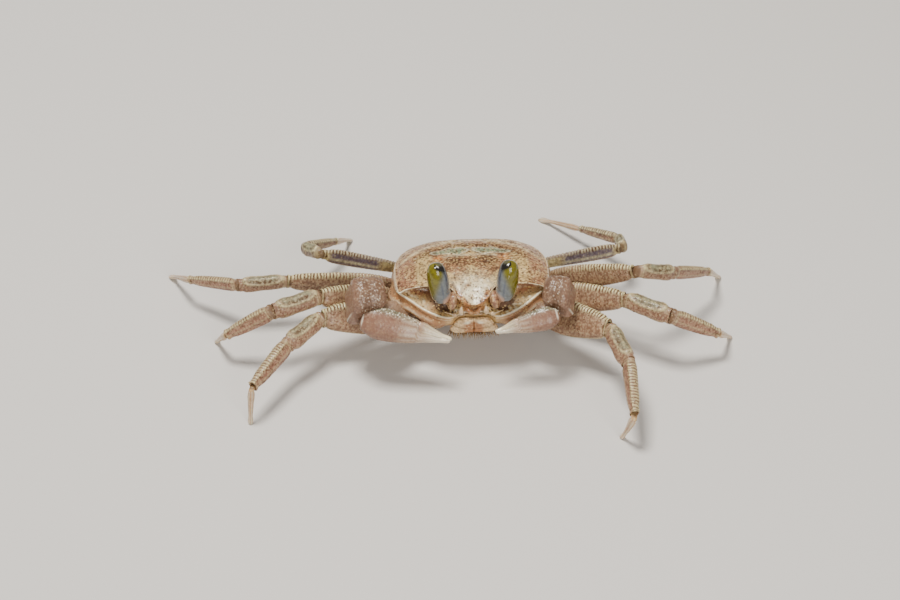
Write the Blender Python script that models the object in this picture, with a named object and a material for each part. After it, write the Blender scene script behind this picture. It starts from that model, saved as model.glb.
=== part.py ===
"""Ghost crab standing on eight walking legs, life size, in metres, +Z up.

The crab faces -Y and its left side is at +X. Every shell plate, leg joint, claw joint and eye is
its own closed solid in its own object. The flats under the eight leg tips are the level Z = 0.
"""

from math import cos, pi, radians, sin, tan, tau

import bmesh
import bpy
from mathutils import Euler, Matrix, Vector

MM = 0.001

# Driving dimensions, in millimetres and whole degrees.
CARAPACE_WIDTH = 20.0
HALF = CARAPACE_WIDTH / 2
BODY_CENTRE = Vector((0.0, 0.2, 9.3))  # the middle of the plane through the side margins
BODY_PITCH = 12  # the front is held higher than the back
BODY_ROLL = 1
BODY_YAW = 2
JOINT_GAP = 0.2  # between leg joints, filled by soft skin in life
TIP_FLAT = 0.27  # half width of the flat under each leg tip

# The carapace from the nose round the left side to the middle of the back, in half widths. Each
# row pairs a point of the upper margin (x, y, z) with the point of the lip below it, which is the
# lower rim of the eye socket at the front and the top of the side wall elsewhere. The last value
# is how deep the eye socket is hollowed there.
CARAPACE = (
    ((0.000, -0.900, -0.085), (0.000, -0.780, -0.245), 0.000),
    ((0.105, -0.880, -0.070), (0.110, -0.770, -0.245), 0.000),
    ((0.185, -0.830, -0.030), (0.195, -0.790, -0.260), 0.020),
    ((0.235, -0.745, 0.030), (0.290, -0.835, -0.290), 0.080),
    ((0.315, -0.670, 0.062), (0.390, -0.830, -0.285), 0.160),
    ((0.450, -0.638, 0.070), (0.500, -0.795, -0.260), 0.180),
    ((0.600, -0.635, 0.070), (0.640, -0.730, -0.210), 0.180),
    ((0.740, -0.640, 0.060), (0.760, -0.670, -0.145), 0.150),
    ((0.860, -0.645, 0.030), (0.865, -0.620, -0.085), 0.080),
    ((0.945, -0.640, -0.012), (0.940, -0.575, -0.052), 0.020),
    ((0.970, -0.520, -0.005), (0.975, -0.500, -0.040), 0.000),
    ((0.985, -0.330, 0.000), (0.990, -0.330, -0.035), 0.000),
    ((0.990, -0.110, 0.000), (0.995, -0.110, -0.035), 0.000),
    ((0.978, 0.115, -0.010), (0.986, 0.115, -0.045), 0.000),
    ((0.925, 0.325, -0.020), (0.935, 0.325, -0.055), 0.000),
    ((0.835, 0.495, -0.025), (0.840, 0.495, -0.060), 0.000),
    ((0.715, 0.625, -0.030), (0.720, 0.620, -0.065), 0.000),
    ((0.575, 0.705, -0.035), (0.575, 0.700, -0.070), 0.000),
    ((0.420, 0.742, -0.035), (0.420, 0.732, -0.070), 0.000),
    ((0.220, 0.758, -0.035), (0.220, 0.748, -0.070), 0.000),
    ((0.000, 0.768, -0.035), (0.000, 0.758, -0.070), 0.000),
)
DOME_RISE = 0.165  # the crown above the margins' plane, in half widths
# The side wall from the lip down: how far down it is, and its width and its reach to the front
# and to the back there, as shares of the lip's.
WALL = (
    (0.30, 1.035, 0.985, 0.955), (0.62, 1.03, 0.95, 0.92), (0.86, 0.98, 0.90, 0.87),
    (1.00, 0.88, 0.83, 0.80),
)
SIDE_FOOT = -0.30  # the height of the wall's foot at the sides, in half widths
GROOVE = 0.006  # a hair-line groove below the margin, all round
FRONT_FOOT = -0.47  # beside the mouth
BACK_FOOT = -0.20  # above the hind legs
# The belly inside the ring of hips: how far it drops below the wall's foot, its width and length
# as shares of the lip's, and the lowest that it may lie.
CORE = ((-0.035, 0.66, 0.70, -0.478), (-0.10, 0.52, 0.64, -0.484), (-0.29, 0.46, 0.62, -0.49))

# Lengths of merus, carpus, propodus and dactyl for the walking legs, front pair first.
LEG_LENGTHS = {
    1: (11.7, 6.0, 8.2, 5.6),
    2: (12.4, 6.4, 7.5, 6.4),
    3: (15.2, 6.3, 8.3, 7.0),
    4: (12.8, 4.4, 7.2, 7.6),
}
# Depth (crest to lower edge) of the same four joints, and thickness as a share of depth.
LEG_DEPTHS = {
    1: (4.5, 2.3, 2.15, 0.95),
    2: (3.8, 2.3, 2.05, 0.95),
    3: (3.4, 1.9, 1.7, 0.9),
    4: (2.2, 1.7, 1.45, 0.85),
}
LEG_FLATNESS = (0.39, 0.74, 0.66, 0.78)
# Where the hips start beside the breast plate and end, in the body's frame.
HIP_START = {1: (5.3, -2.9, -5.6), 2: (5.3, -0.2, -5.5), 3: (5.2, 1.9, -5.4), 4: (4.9, 4.5, -5.2)}
HIP_END = {1: (8.5, -2.9, -5.4), 2: (9.1, 0.4, -5.0), 3: (9.1, 2.7, -4.1), 4: (7.7, 5.8, -3.5)}

# Where each joint of a leg points: degrees ahead of straight outwards, and degrees above level.
LEG_POSE = {
    ("right", 1): ((17, 12), (47, -6), (59, -7), (70, -80)),
    ("right", 2): ((24, 22), (24, -2), (-3, -35), (-64, -48)),
    ("right", 3): ((7, 9), (5, -2), (-31, -18), (-60, -33)),
    ("right", 4): ((10, 21), (-53, -22), (-129, -26), (-106, -37)),
    ("left", 1): ((38, 15), (70, -6), (87, -13), (55, -113)),
    ("left", 2): ((26, 17.5), (26, -3), (-9, -31), (-62, -43)),
    ("left", 3): ((27, 27), (-28, -24), (-45, -30), (-67, -44)),
    ("left", 4): ((-6, 9), (-94, -24), (-135, -18), (-134, -20)),
}
LEG_LEAN = {1: 34, 2: 26, 3: 4, 4: 0}  # how far the crest leans to the rear, in degrees

# Places along each claw leg, and its sizes. The right claw is the larger.
CLAWS = {
    "right": {
        "places": {
            "hip": (-4.9, -6.2, 5.0), "shoulder": (-8.2, -7.6, 5.3), "elbow": (-13.4, -6.9, 10.0),
            "cuff": (-13.7, -5.9, 11.2), "wrist": (-13.1, -9.3, 10.2),
            "heel": (-14.0, -10.2, 9.3), "tip": (-2.6, -12.1, 7.3),
        },
        "merus_depth": 2.5, "carpus_depth": 5.0, "palm_depth": 4.1,
    },
    "left": {
        "places": {
            "hip": (5.3, -6.0, 5.2), "shoulder": (8.2, -7.5, 5.8), "elbow": (11.4, -6.9, 9.8),
            "cuff": (11.5, -5.4, 11.35), "wrist": (10.85, -8.5, 10.3),
            "heel": (11.1, -10.0, 9.8), "tip": (3.1, -11.4, 8.1),
        },
        "merus_depth": 2.1, "carpus_depth": 3.9, "palm_depth": 2.8,
    },
}
CLAW_LEAN = 38

EYE_BASE = Vector((3.95, -8.35, -0.6))
EYE_TOP = Vector((4.75, -8.35, 4.95))
EYE_WIDTH = 2.8
STALK_ROOT = Vector((2.35, -8.2, -0.95))

COLOURS = {
    "carapace": ((0.44, 0.32, 0.26), 0.35),
    "underside": ((0.62, 0.54, 0.46), 0.45),
    "leg": ((0.42, 0.34, 0.27), 0.38),
    "rear_leg": ((0.20, 0.17, 0.17), 0.38),
    "toe": ((0.62, 0.55, 0.45), 0.30),
    "claw": ((0.47, 0.36, 0.31), 0.35),
    "finger": ((0.80, 0.76, 0.68), 0.30),
    "eye": ((0.46, 0.50, 0.22), 0.12),
    "stalk": ((0.66, 0.52, 0.45), 0.35),
    "mouth": ((0.58, 0.44, 0.34), 0.40),
}

# Stations of each kind of joint, as shares: how far along, depth, rise and thickness.
HIP = ((0.0, 0.8, 0.0, 0.8), (0.25, 1.0, 0.0, 1.0), (0.7, 0.9, 0.0, 0.95), (0.93, 0.7, 0.0, 0.75))
MERUS = ((0.0, 0.5, -0.06, 0.7), (0.07, 0.66, -0.03, 0.85), (0.25, 0.93, 0.0, 1.0),
         (0.45, 1.0, 0.0, 1.0), (0.7, 0.87, 0.0, 1.0), (0.92, 0.62, 0.0, 0.95),
         (1.0, 0.46, 0.0, 0.75))
# The hindmost legs are deepest near the knee instead.
REAR_MERUS = ((0.0, 0.45, -0.04, 0.7), (0.07, 0.58, -0.02, 0.85), (0.25, 0.76, 0.0, 1.0),
              (0.45, 0.9, 0.0, 1.0), (0.7, 1.0, 0.0, 1.0), (0.92, 0.84, 0.0, 0.95),
              (1.0, 0.56, 0.0, 0.75))
CARPUS = ((0.0, 0.6, 0.0, 0.6), (0.14, 0.84, 0.03, 0.9), (0.5, 0.96, 0.0, 1.0),
          (0.88, 1.0, 0.0, 1.0), (1.0, 0.74, 0.0, 0.74))
PROPODUS = ((0.0, 0.74, 0.0, 0.74), (0.1, 0.94, 0.0, 0.95), (0.38, 1.0, 0.0, 1.0),
            (0.78, 0.82, 0.0, 0.9), (1.0, 0.6, 0.0, 0.65))
DACTYL = ((0.0, 0.7, 0.0, 0.75), (0.1, 1.0, 0.0, 1.0), (0.4, 0.9, 0.06, 0.95),
          (0.72, 0.72, 0.05, 0.85))
LEG_JOINTS = (("merus", MERUS, 12, 0.22), ("carpus", CARPUS, 10, 0.1),
              ("propodus", PROPODUS, 10, 0.0), ("dactyl", DACTYL, 8, 0.0))
CLAW_MERUS = ((0.05, 0.6, 0.0, 0.7), (0.25, 0.85, 0.0, 1.0), (0.5, 1.0, 0.0, 1.0),
              (0.62, 0.6, 0.0, 0.7))
CLAW_CARPUS = ((0.0, 0.4, 0.0, 0.4), (0.1, 0.74, 0.02, 0.75), (0.32, 0.97, 0.06, 1.0),
               (0.6, 1.0, 0.04, 1.0), (0.82, 0.8, 0.0, 0.85), (0.93, 0.5, 0.0, 0.55))
PALM = ((0.0, 0.48, 0.0, 0.5), (0.05, 0.76, 0.0, 0.8), (0.14, 0.96, 0.0, 1.0),
        (0.27, 1.0, 0.0, 1.0), (0.42, 0.91, 0.0, 0.95), (0.54, 0.78, 0.0, 0.85),
        (0.62, 0.66, 0.0, 0.7), (0.645, 0.28, -0.15, 0.5), (0.75, 0.22, -0.12, 0.38),
        (0.88, 0.15, -0.085, 0.27), (1.0, 0.07, -0.03, 0.14))
FINGER = ((0.655, 0.28, 0.17, 0.38), (0.69, 0.32, 0.17, 0.46), (0.77, 0.24, 0.135, 0.37),
          (0.89, 0.15, 0.085, 0.26), (1.005, 0.06, 0.055, 0.14))



def material(name):
    """The named finish as a Principled material, made once."""
    found = bpy.data.materials.get(name)
    if found:
        return found
    colour, roughness = COLOURS[name]
    made = bpy.data.materials.new(name)
    made.use_nodes = True
    shader = made.node_tree.nodes["Principled BSDF"]
    shader.inputs["Base Color"].default_value = (*colour, 1.0)
    shader.inputs["Roughness"].default_value = roughness
    shader.inputs["Metallic"].default_value = 0.0
    return made


def clear_scene():
    """Remove every object, so that the script can be run again in the same file."""
    for item in list(bpy.data.objects):
        bpy.data.objects.remove(item, do_unlink=True)


def crab_collection():
    """The collection that holds the crab, linked to the scene."""
    found = bpy.data.collections.get("ghost_crab") or bpy.data.collections.new("ghost_crab")
    if found.name not in bpy.context.scene.collection.children:
        bpy.context.scene.collection.children.link(found)
    return found


def add_object(name, rings, finish, place):
    """Loft rings into a closed node of the crab, with its finish, at its place."""
    mesh = loft(name, rings)
    mesh.materials.append(material(finish))
    mesh.shade_smooth()
    mesh.set_sharp_from_angle(angle=radians(50))
    made = bpy.data.objects.new(name, mesh)
    crab_collection().objects.link(made)
    made.parent = bpy.data.objects["crab_frame"]
    made.matrix_local = place
    return made


def loft(name, rings):
    """A closed mesh through rings of equally many points, given in millimetres, with flat ends."""
    shape = bmesh.new()
    loops = [[shape.verts.new(point * MM) for point in ring] for ring in rings]
    count = len(rings[0])
    for near, far in zip(loops, loops[1:]):
        for i in range(count):
            j = (i + 1) % count
            shape.faces.new((near[i], near[j], far[j], far[i]))
    shape.faces.new(list(reversed(loops[0])))
    shape.faces.new(loops[-1])
    bmesh.ops.recalc_face_normals(shape, faces=shape.faces)
    mesh = bpy.data.meshes.new(name)
    shape.to_mesh(mesh)
    shape.free()
    return mesh


def power(value, exponent):
    """A signed power, which squares up or pinches a circle."""
    return abs(value) ** exponent * (1 if value >= 0 else -1)


def section(at, depth, thickness, rise=0.0, sides=10, square=0.85, crest=0.0):
    """A ring across +X: depth along Z, thickness along Y, pinched towards its crest by a share."""
    ring = []
    for i in range(sides):
        turn = tau * (i + 0.5) / sides
        up = power(sin(turn), square)
        side = power(cos(turn), square) * (1 - crest * up)
        ring.append(Vector((at, side * thickness / 2, rise + up * depth / 2)))
    return ring


def joint_rings(stations, length, depth, thickness, sides, crest=0.0):
    """Rings of a leg joint from its stations, scaled to its length, depth and thickness."""
    return [
        section(length * along, depth * deep, thickness * thick, rise * depth, sides, crest=crest)
        for along, deep, rise, thick in stations
    ]


def direction(sign, heading, slope):
    """The unit vector along a leg joint, and the two across it: to the rear, and up."""
    ahead, climb = radians(heading), radians(slope)
    along = Vector((sign * cos(ahead) * cos(climb), -sin(ahead) * cos(climb), sin(climb)))
    rear = Vector((sign * sin(ahead), cos(ahead), 0))
    above = Vector((-sign * cos(ahead) * sin(climb), sin(ahead) * sin(climb), cos(climb)))
    return along, rear, above


def frame_at(start, along, above):
    """A matrix at start, in millimetres, with +X along and +Z as near above as it can be."""
    along = along.normalized()
    side = above.cross(along).normalized()
    turn = Matrix((along, side, along.cross(side))).transposed().to_4x4()
    return Matrix.Translation(start * MM) @ turn


def body_matrix():
    """The place of the body's own frame: its margins' plane, pitched, rolled and turned."""
    turn = Euler((radians(-BODY_PITCH), radians(-BODY_ROLL), radians(BODY_YAW)), "XYZ")
    return Matrix.Translation(BODY_CENTRE * MM) @ turn.to_matrix().to_4x4()


def on_body(point):
    """A point of the body's frame in the crab's frame, both in millimetres."""
    return (body_matrix() @ (Vector(point) * MM)) / MM


def mirrored(half):
    """A closed loop from its left half, whose first and last points are on the middle plane."""
    right = [Vector((-p.x, p.y, p.z)) for p in half[-2:0:-1]]
    return list(half) + right


def dome(x, y):
    """Height of the carapace's crown over a point of its plan, in half widths."""
    along, across = y + 0.02, x
    return DOME_RISE * (1 - 0.95 * along * along) * (1 - 0.35 * across * across)


def wall_foot(p):
    """Height of the side wall's foot below a point of the lip, in half widths."""
    front = max(0.0, min(1.0, (-p.y - 0.55) / 0.2)) * max(0.0, min(1.0, (0.8 - abs(p.x)) / 0.3))
    back = max(0.0, min(1.0, (p.y + 0.1) / 0.6))
    return SIDE_FOOT + (FRONT_FOOT - SIDE_FOOT) * front + (BACK_FOOT - SIDE_FOOT) * back


def carapace_rings():
    """Rings from the belly face, up the side walls and the socket to the margin and the dome."""
    margin = [Vector(row[0]) for row in CARAPACE]
    lip = [Vector(row[1]) for row in CARAPACE]
    hollow = [row[2] for row in CARAPACE]

    rings = []
    for drop, wide, long, floor in CORE[::-1]:
        low = [max(floor, wall_foot(p) + drop) for p in lip]
        rings.append([Vector((p.x * wide, p.y * long, z)) for p, z in zip(lip, low)])
    for down, wide, ahead, behind in WALL[::-1]:
        ring = []
        for p in lip:
            side = min(1.0, abs(p.x) * 1.6)
            x = p.x * (1 + (wide - 1) * side)
            y = p.y * (ahead if p.y < 0 else behind)
            ring.append(Vector((x, y, p.z + (wall_foot(p) - p.z) * down)))
        rings.append(ring)
    rings.append(lip)
    for share, deep in ((0.12, 0.55), (0.35, 1.0), (0.75, 0.95), (0.93, 0.45)):
        rings.append([
            low.lerp(high, share) + Vector((-0.25 * depth, depth, 0)) * deep
            - Vector((low.x, low.y, 0)).normalized() * GROOVE * deep
            for low, high, depth in zip(lip, margin, hollow)
        ])
    rings.append(margin)
    for share in (0.955, 0.87, 0.72, 0.54, 0.35, 0.15):
        blend = 1 - share**6
        ring = []
        for p in margin:
            x, y = p.x * share, p.y * share + 0.02 * (1 - share)
            ring.append(Vector((x, y, p.z * (1 - blend) + dome(x, y) * blend)))
        rings.append(ring)
    return [[p * HALF for p in mirrored(ring)] for ring in rings]


def build_body():
    """The back shell with its side walls and open eye sockets, and the breast plate."""
    body = body_matrix()
    add_object("carapace", carapace_rings(), "carapace", body)
    rings = []
    for z, half_width, front, back in (
        (-5.0, 4.75, -5.0, 5.2), (-5.8, 4.7, -5.1, 5.3), (-6.5, 4.2, -4.9, 5.1),
        (-6.8, 3.4, -4.2, 4.4),
    ):
        middle, half_length = (front + back) / 2, (back - front) / 2
        ring = []
        for i in range(24):
            turn = tau * i / 24
            x = power(cos(turn), 0.7) * half_width
            ring.append(Vector((x, middle + power(sin(turn), 0.7) * half_length, z)))
        rings.append(ring)
    add_object("sternum", rings, "underside", body)


def build_abdomen():
    """The narrow abdomen, folded from the back margin round under the breast plate."""
    path = ((8.1, -1.1, 4.6), (7.85, -2.1, 4.6), (7.2, -3.6, 4.3), (6.6, -5.0, 4.0),
            (6.0, -6.3, 3.6), (4.6, -7.15, 3.2), (2.6, -7.25, 2.8), (0.6, -7.25, 2.2),
            (-0.8, -7.25, 1.5), (-1.6, -7.2, 0.7))
    rings = []
    for i, (y, z, width) in enumerate(path):
        before, after = path[max(0, i - 1)], path[min(len(path) - 1, i + 1)]
        run = Vector((0, after[0] - before[0], after[1] - before[1])).normalized()
        outward = Vector((0, -run.z, run.y))
        ring = []
        for k in range(10):
            turn = tau * (k + 0.5) / 10
            across = Vector((power(cos(turn), 0.6) * width / 2, 0, 0))
            ring.append(Vector((0, y, z)) + across + outward * power(sin(turn), 0.8) * 0.28)
        rings.append(ring)
    add_object("abdomen", rings, "underside", body_matrix())


def build_mouth():
    """The two outer jaw legs, side by side below the front, as shallow crowned plates."""
    for side, sign in (("left", 1), ("right", -1)):
        rings = []
        for share, outer, swell in ((0.0, 1.8, 0.26), (0.12, 2.2, 0.34), (0.45, 2.65, 0.36),
                                    (0.8, 3.05, 0.34), (1.0, 2.75, 0.26)):
            inner = 0.1
            middle, half = (inner + outer) / 2, (outer - inner) / 2
            y, z = -8.35 + 0.85 * share, -3.25 - 2.15 * share
            ring = []
            for k in range(10):
                turn = tau * (k + 0.5) / 10
                x = sign * (middle + power(cos(turn), 0.7) * half)
                out = power(sin(turn), 0.8) * swell
                ring.append(Vector((x, y + out, z + out * 0.35)))
            rings.append(ring)
        add_object(f"mouth_plate_{side}", rings, "mouth", body_matrix())


def build_eyes():
    """The long upright eyes, each on a short stalk beside the front."""
    for side, sign in (("left", 1), ("right", -1)):
        base, top, root = (
            Vector((sign * p.x, p.y, p.z)) for p in (EYE_BASE, EYE_TOP, STALK_ROOT)
        )
        length = (top - base).length
        rings = []
        for i in range(11):
            turn = pi * (i + 0.35) / 10.7
            share = (1 - cos(turn)) / 2
            width = EYE_WIDTH * sin(turn) ** 0.66 * (0.93 + 0.1 * share)
            rings.append(section(length * share, width, width, sides=14, square=1.0))
        place = body_matrix() @ frame_at(base, top - base, Vector((0, 1, 0)))
        add_object(f"eye_{side}", rings, "eye", place)

        reach = base - root
        stations = ((0.0, 0.9), (0.15, 1.15), (0.35, 1.2), (0.5, 1.05), (0.58, 0.7))
        rings = [section(reach.length * t, w, w, sides=10, square=1.0) for t, w in stations]
        place = body_matrix() @ frame_at(root, reach, Vector((0, 0, 1)))
        add_object(f"eyestalk_{side}", rings, "stalk", place)


def clearance(before, after, depth):
    """How far a joint's end of this depth stays back from the place where the leg bends."""
    return JOINT_GAP / 2 + depth * 0.36 * tan(before.angle(after) / 2)


def build_leg(side, number):
    """One walking leg: its hip, and four joints that run out along the pose's directions."""
    sign = 1 if side == "left" else -1
    finish = "rear_leg" if number == 4 else "leg"
    hip_start, hip_end = HIP_START[number], HIP_END[number]
    start = on_body((sign * hip_start[0], *hip_start[1:]))
    at = on_body((sign * hip_end[0], *hip_end[1:]))
    reach = at - start
    ways = [direction(sign, *angles) for angles in LEG_POSE[side, number]]
    depth = LEG_DEPTHS[number][0] * 0.5
    end = clearance(reach, ways[0][0], depth * HIP[-1][1])
    rings = joint_rings(HIP, reach.length - end, depth, depth * 0.8, 8)
    place = frame_at(start, reach, Vector((0, 0, 1)))
    add_object(f"leg{number}_{side}_hip", rings, finish, place)

    before = reach
    for k, (part, stations, sides, crest) in enumerate(LEG_JOINTS):
        if (number, part) == (4, "merus"):
            stations = REAR_MERUS
        along, rear, above = ways[k]
        lean = radians(LEG_LEAN[number] * (1 - 0.2 * k))
        depth = LEG_DEPTHS[number][k]
        thickness = depth * LEG_FLATNESS[k]
        name = f"leg{number}_{side}_{part}"
        near = clearance(before, along, depth * stations[0][1])
        start = at + along * near
        place = frame_at(start, along, above * cos(lean) + rear * sin(lean))
        if part == "dactyl":
            length = start.z / -along.z
            rings = joint_rings(stations, length, depth, thickness, sides)
            rings.append(tip_flat(place, start + along * length, rings[-1]))
            add_object(name, rings, "toe", place)
        else:
            far = clearance(along, ways[k + 1][0], depth * stations[-1][1])
            length = LEG_LENGTHS[number][k]
            rings = joint_rings(stations, length - near - far, depth, thickness, sides, crest)
            add_object(name, rings, finish, place)
            at = at + along * length
        before = along


def tip_flat(place, centre, last):
    """The small flat under a leg tip, level with the ground, as a ring in the dactyl's frame."""
    level = [(place @ (point * MM)) / MM - centre for point in last]
    middle = sum(level, Vector()) / len(level)
    inverse = place.inverted()
    ring = []
    for point in level:
        out = point - middle
        out.z = 0.0
        out = centre + out.normalized() * TIP_FLAT
        ring.append((inverse @ (Vector((out.x, out.y, 0.0)) * MM)) / MM)
    return ring


def build_claw(side):
    """One claw leg: hip, merus, rounded carpus, palm with its fixed finger, and moving finger."""
    claw = CLAWS[side]
    at = {key: Vector(place) for key, place in claw["places"].items()}
    lean = radians(CLAW_LEAN)
    above = Vector((0, sin(lean), cos(lean)))

    def strut(part, start, end, stations, sizes, sides, finish, crest=0.0):
        reach = at[end] - at[start]
        rings = joint_rings(stations, reach.length, *sizes, sides, crest)
        add_object(f"claw_{side}_{part}", rings, finish, frame_at(at[start], reach, above))

    merus, carpus, palm = (claw[key] for key in ("merus_depth", "carpus_depth", "palm_depth"))
    strut("hip", "hip", "shoulder", HIP, (merus * 0.7, merus * 0.6), 8, "claw")
    strut("merus", "shoulder", "elbow", CLAW_MERUS, (merus, merus * 0.62), 10, "claw", 0.15)
    strut("carpus", "cuff", "wrist", CLAW_CARPUS, (carpus, carpus * 0.88), 14, "claw", 0.1)
    strut("palm", "heel", "tip", PALM, (palm, palm * 0.56), 14, "claw", 0.1)
    strut("finger", "heel", "tip", FINGER, (palm, palm * 0.56), 10, "finger", 0.1)


def rest_on_origin():
    """Move the crab's frame so that the origin is under the middle of its box."""
    bpy.context.view_layer.update()
    corners = []
    for item in crab_collection().objects:
        if item.type == "MESH":
            corners += [item.matrix_world @ vertex.co for vertex in item.data.vertices]
    middle = [
        (min(p[axis] for p in corners) + max(p[axis] for p in corners)) / 2 for axis in (0, 1)
    ]
    bpy.data.objects["crab_frame"].location = (-middle[0], -middle[1], 0.0)


def main():
    """Build the crab and set it on its origin."""
    clear_scene()
    crab_collection().objects.link(bpy.data.objects.new("crab_frame", None))
    build_body()
    build_abdomen()
    build_mouth()
    build_eyes()
    for side in ("left", "right"):
        build_claw(side)
        for number in LEG_LENGTHS:
            build_leg(side, number)
    rest_on_origin()


main()
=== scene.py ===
"""Looks of a young ghost crab, built round its solid shell pieces.

Each shell piece is a smooth surface drawn through the rings of its solid, then carved with the
granules, cross lines, rims and grooves of the living animal. Lengths are in millimetres unless
they say otherwise; places on the back are in half widths of the shell.
"""

import logging
from dataclasses import dataclass, field
from enum import Enum
from math import cos, pi, radians, sin, tau

import bmesh
import bpy
import numpy as np
from mathutils import Matrix, Vector, noise


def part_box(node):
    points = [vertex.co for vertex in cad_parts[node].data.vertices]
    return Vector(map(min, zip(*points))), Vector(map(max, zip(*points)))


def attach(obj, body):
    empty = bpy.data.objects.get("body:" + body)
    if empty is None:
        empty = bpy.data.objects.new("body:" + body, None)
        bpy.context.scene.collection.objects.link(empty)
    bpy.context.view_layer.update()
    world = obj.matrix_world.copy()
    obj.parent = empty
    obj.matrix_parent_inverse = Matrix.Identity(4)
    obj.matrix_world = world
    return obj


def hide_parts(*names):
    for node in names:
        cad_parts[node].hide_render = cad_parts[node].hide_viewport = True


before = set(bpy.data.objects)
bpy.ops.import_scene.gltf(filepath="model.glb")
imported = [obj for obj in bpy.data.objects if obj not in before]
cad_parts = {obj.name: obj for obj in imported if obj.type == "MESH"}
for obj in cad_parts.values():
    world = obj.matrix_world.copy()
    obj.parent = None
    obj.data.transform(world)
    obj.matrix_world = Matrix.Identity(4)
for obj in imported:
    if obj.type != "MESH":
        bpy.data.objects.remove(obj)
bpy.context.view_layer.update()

Grid = np.ndarray
Colour = tuple[float, float, float]
Pair = tuple[float, float]

LOG = logging.getLogger("ghost_crab")
MM = 0.001
UP = np.array((0.0, 0.0, 1.0))
FORWARD = np.array((0.0, -1.0, 0.0))
MERGE = 1e-6  # metres within which two corners are one
FLATNESS = 0.9999  # how alike two faces must point to be one flat stretch
END_CANDIDATES = 8  # how many flat stretches are tried as an end of a solid
SHELL_MARKS = ("pale", "cream", "dark", "tan", "green", "orange", "pink", "violet")


class Side(Enum):
    """The crab's own left and right, with the sign of +X there."""

    LEFT = 1
    RIGHT = -1

    @property
    def word(self) -> str:
        """The side's name inside node names."""
        return self.name.lower()


# --------------------------------------------------------------------------- small maths


def smoothstep(low: float, high: float, value: Grid) -> Grid:
    """A soft step from 0 at low to 1 at high.

    Args:
        low: Where the step starts.
        high: Where the step ends; it may be below low for a falling step.
        value: Numbers to be stepped.

    Returns:
        The stepped numbers.
    """
    share = np.clip((value - low) / (high - low), 0.0, 1.0)
    return share * share * (3.0 - 2.0 * share)


def bump(value: Grid, centre: float, width: float) -> Grid:
    """A soft hump of height 1 round a centre."""
    return np.exp(-(((value - centre) / width) ** 2))


def spot(x: Grid, y: Grid, centre: tuple[float, float], size: tuple[float, float]) -> Grid:
    """A soft oval patch of height 1 on a plan."""
    return np.exp(-((((x - centre[0]) / size[0]) ** 2 + ((y - centre[1]) / size[1]) ** 2) ** 1.5))


def line_distance(x: Grid, y: Grid, path: list[tuple[float, float]]) -> Grid:
    """Distance of every plan point from a broken line.

    Args:
        x: First coordinates.
        y: Second coordinates.
        path: Corners of the line.

    Returns:
        The shortest distance from the line.
    """
    best = np.full(x.shape, 1e9)
    for (ax, ay), (bx, by) in zip(path, path[1:]):
        dx, dy = bx - ax, by - ay
        share = np.clip(((x - ax) * dx + (y - ay) * dy) / (dx * dx + dy * dy), 0.0, 1.0)
        best = np.minimum(best, np.hypot(x - ax - share * dx, y - ay - share * dy))
    return best


@dataclass(frozen=True)
class Patch:
    """A soft oval patch on the plan of the back, the same on both sides, in half widths."""

    across: float
    back: float
    wide: float
    deep: float
    weight: float = 1.0


def patched(x: Grid, y: Grid, patches: tuple[Patch, ...]) -> Grid:
    """The weighted sum of soft oval patches on a plan."""
    return sum(p.weight * spot(x, y, (p.across, p.back), (p.wide, p.deep)) for p in patches)


@dataclass(frozen=True)
class Groove:
    """A groove along a broken line on the plan of the back, in half widths."""

    path: tuple[Pair, ...]
    width: float
    depth: float  # in millimetres


def cells(points: Grid, pitch: float, shift: float = 0.0) -> Grid:
    """Rounded granules scattered over a surface.

    Args:
        points: Places, in millimetres.
        pitch: Mean spacing of the granules.
        shift: Moves the scatter, so that two layers differ.

    Returns:
        1 at a granule's middle, falling to 0 between granules.
    """
    flat = points.reshape(-1, 3) / pitch + shift
    near = np.array([noise.voronoi(p)[0][0] for p in flat])
    return np.clip(1.0 - 1.7 * near, 0.0, 1.0).reshape(points.shape[:-1])


def clouds(points: Grid, pitch: float, shift: float = 0.0, depth: int = 3) -> Grid:
    """Soft cloudy noise between about -1 and 1.

    Args:
        points: Places, in millimetres.
        pitch: Size of the largest clouds.
        shift: Moves the noise, so that two layers differ.
        depth: How many finer layers are added.

    Returns:
        The noise at every place.
    """
    flat = points.reshape(-1, 3) / pitch + shift
    found = [noise.fractal(p, 0.9, 2.0, depth) for p in flat]
    return np.array(found).reshape(points.shape[:-1])


# --------------------------------------------------------------------------- surfaces


def flat_groups(shape: bmesh.types.BMesh) -> list[set]:
    """Corners of each flat stretch of a solid, the largest first.

    Args:
        shape: A lofted solid, merged.

    Returns:
        One set of corners for each stretch.
    """
    seen = set()
    groups = []
    for face in shape.faces:
        if face.index in seen:
            continue
        seen.add(face.index)
        corners = set(face.verts)
        waiting = [face]
        while waiting:
            for edge in waiting.pop().edges:
                for other in edge.link_faces:
                    if other.index not in seen and other.normal.dot(face.normal) > FLATNESS:
                        seen.add(other.index)
                        corners.update(other.verts)
                        waiting.append(other)
        groups.append(corners)
    return sorted(groups, key=len, reverse=True)


def layers_from(start: set) -> list[set]:
    """Corners sorted into layers by how many edges they lie from a first set.

    Args:
        start: The corners of the first layer.

    Returns:
        One set of corners for each layer.
    """
    layer, done, layers = start, set(start), [start]
    while True:
        layer = {edge.other_vert(vert) for vert in layer for edge in vert.link_edges} - done
        if not layer:
            return layers
        done |= layer
        layers.append(layer)


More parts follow.
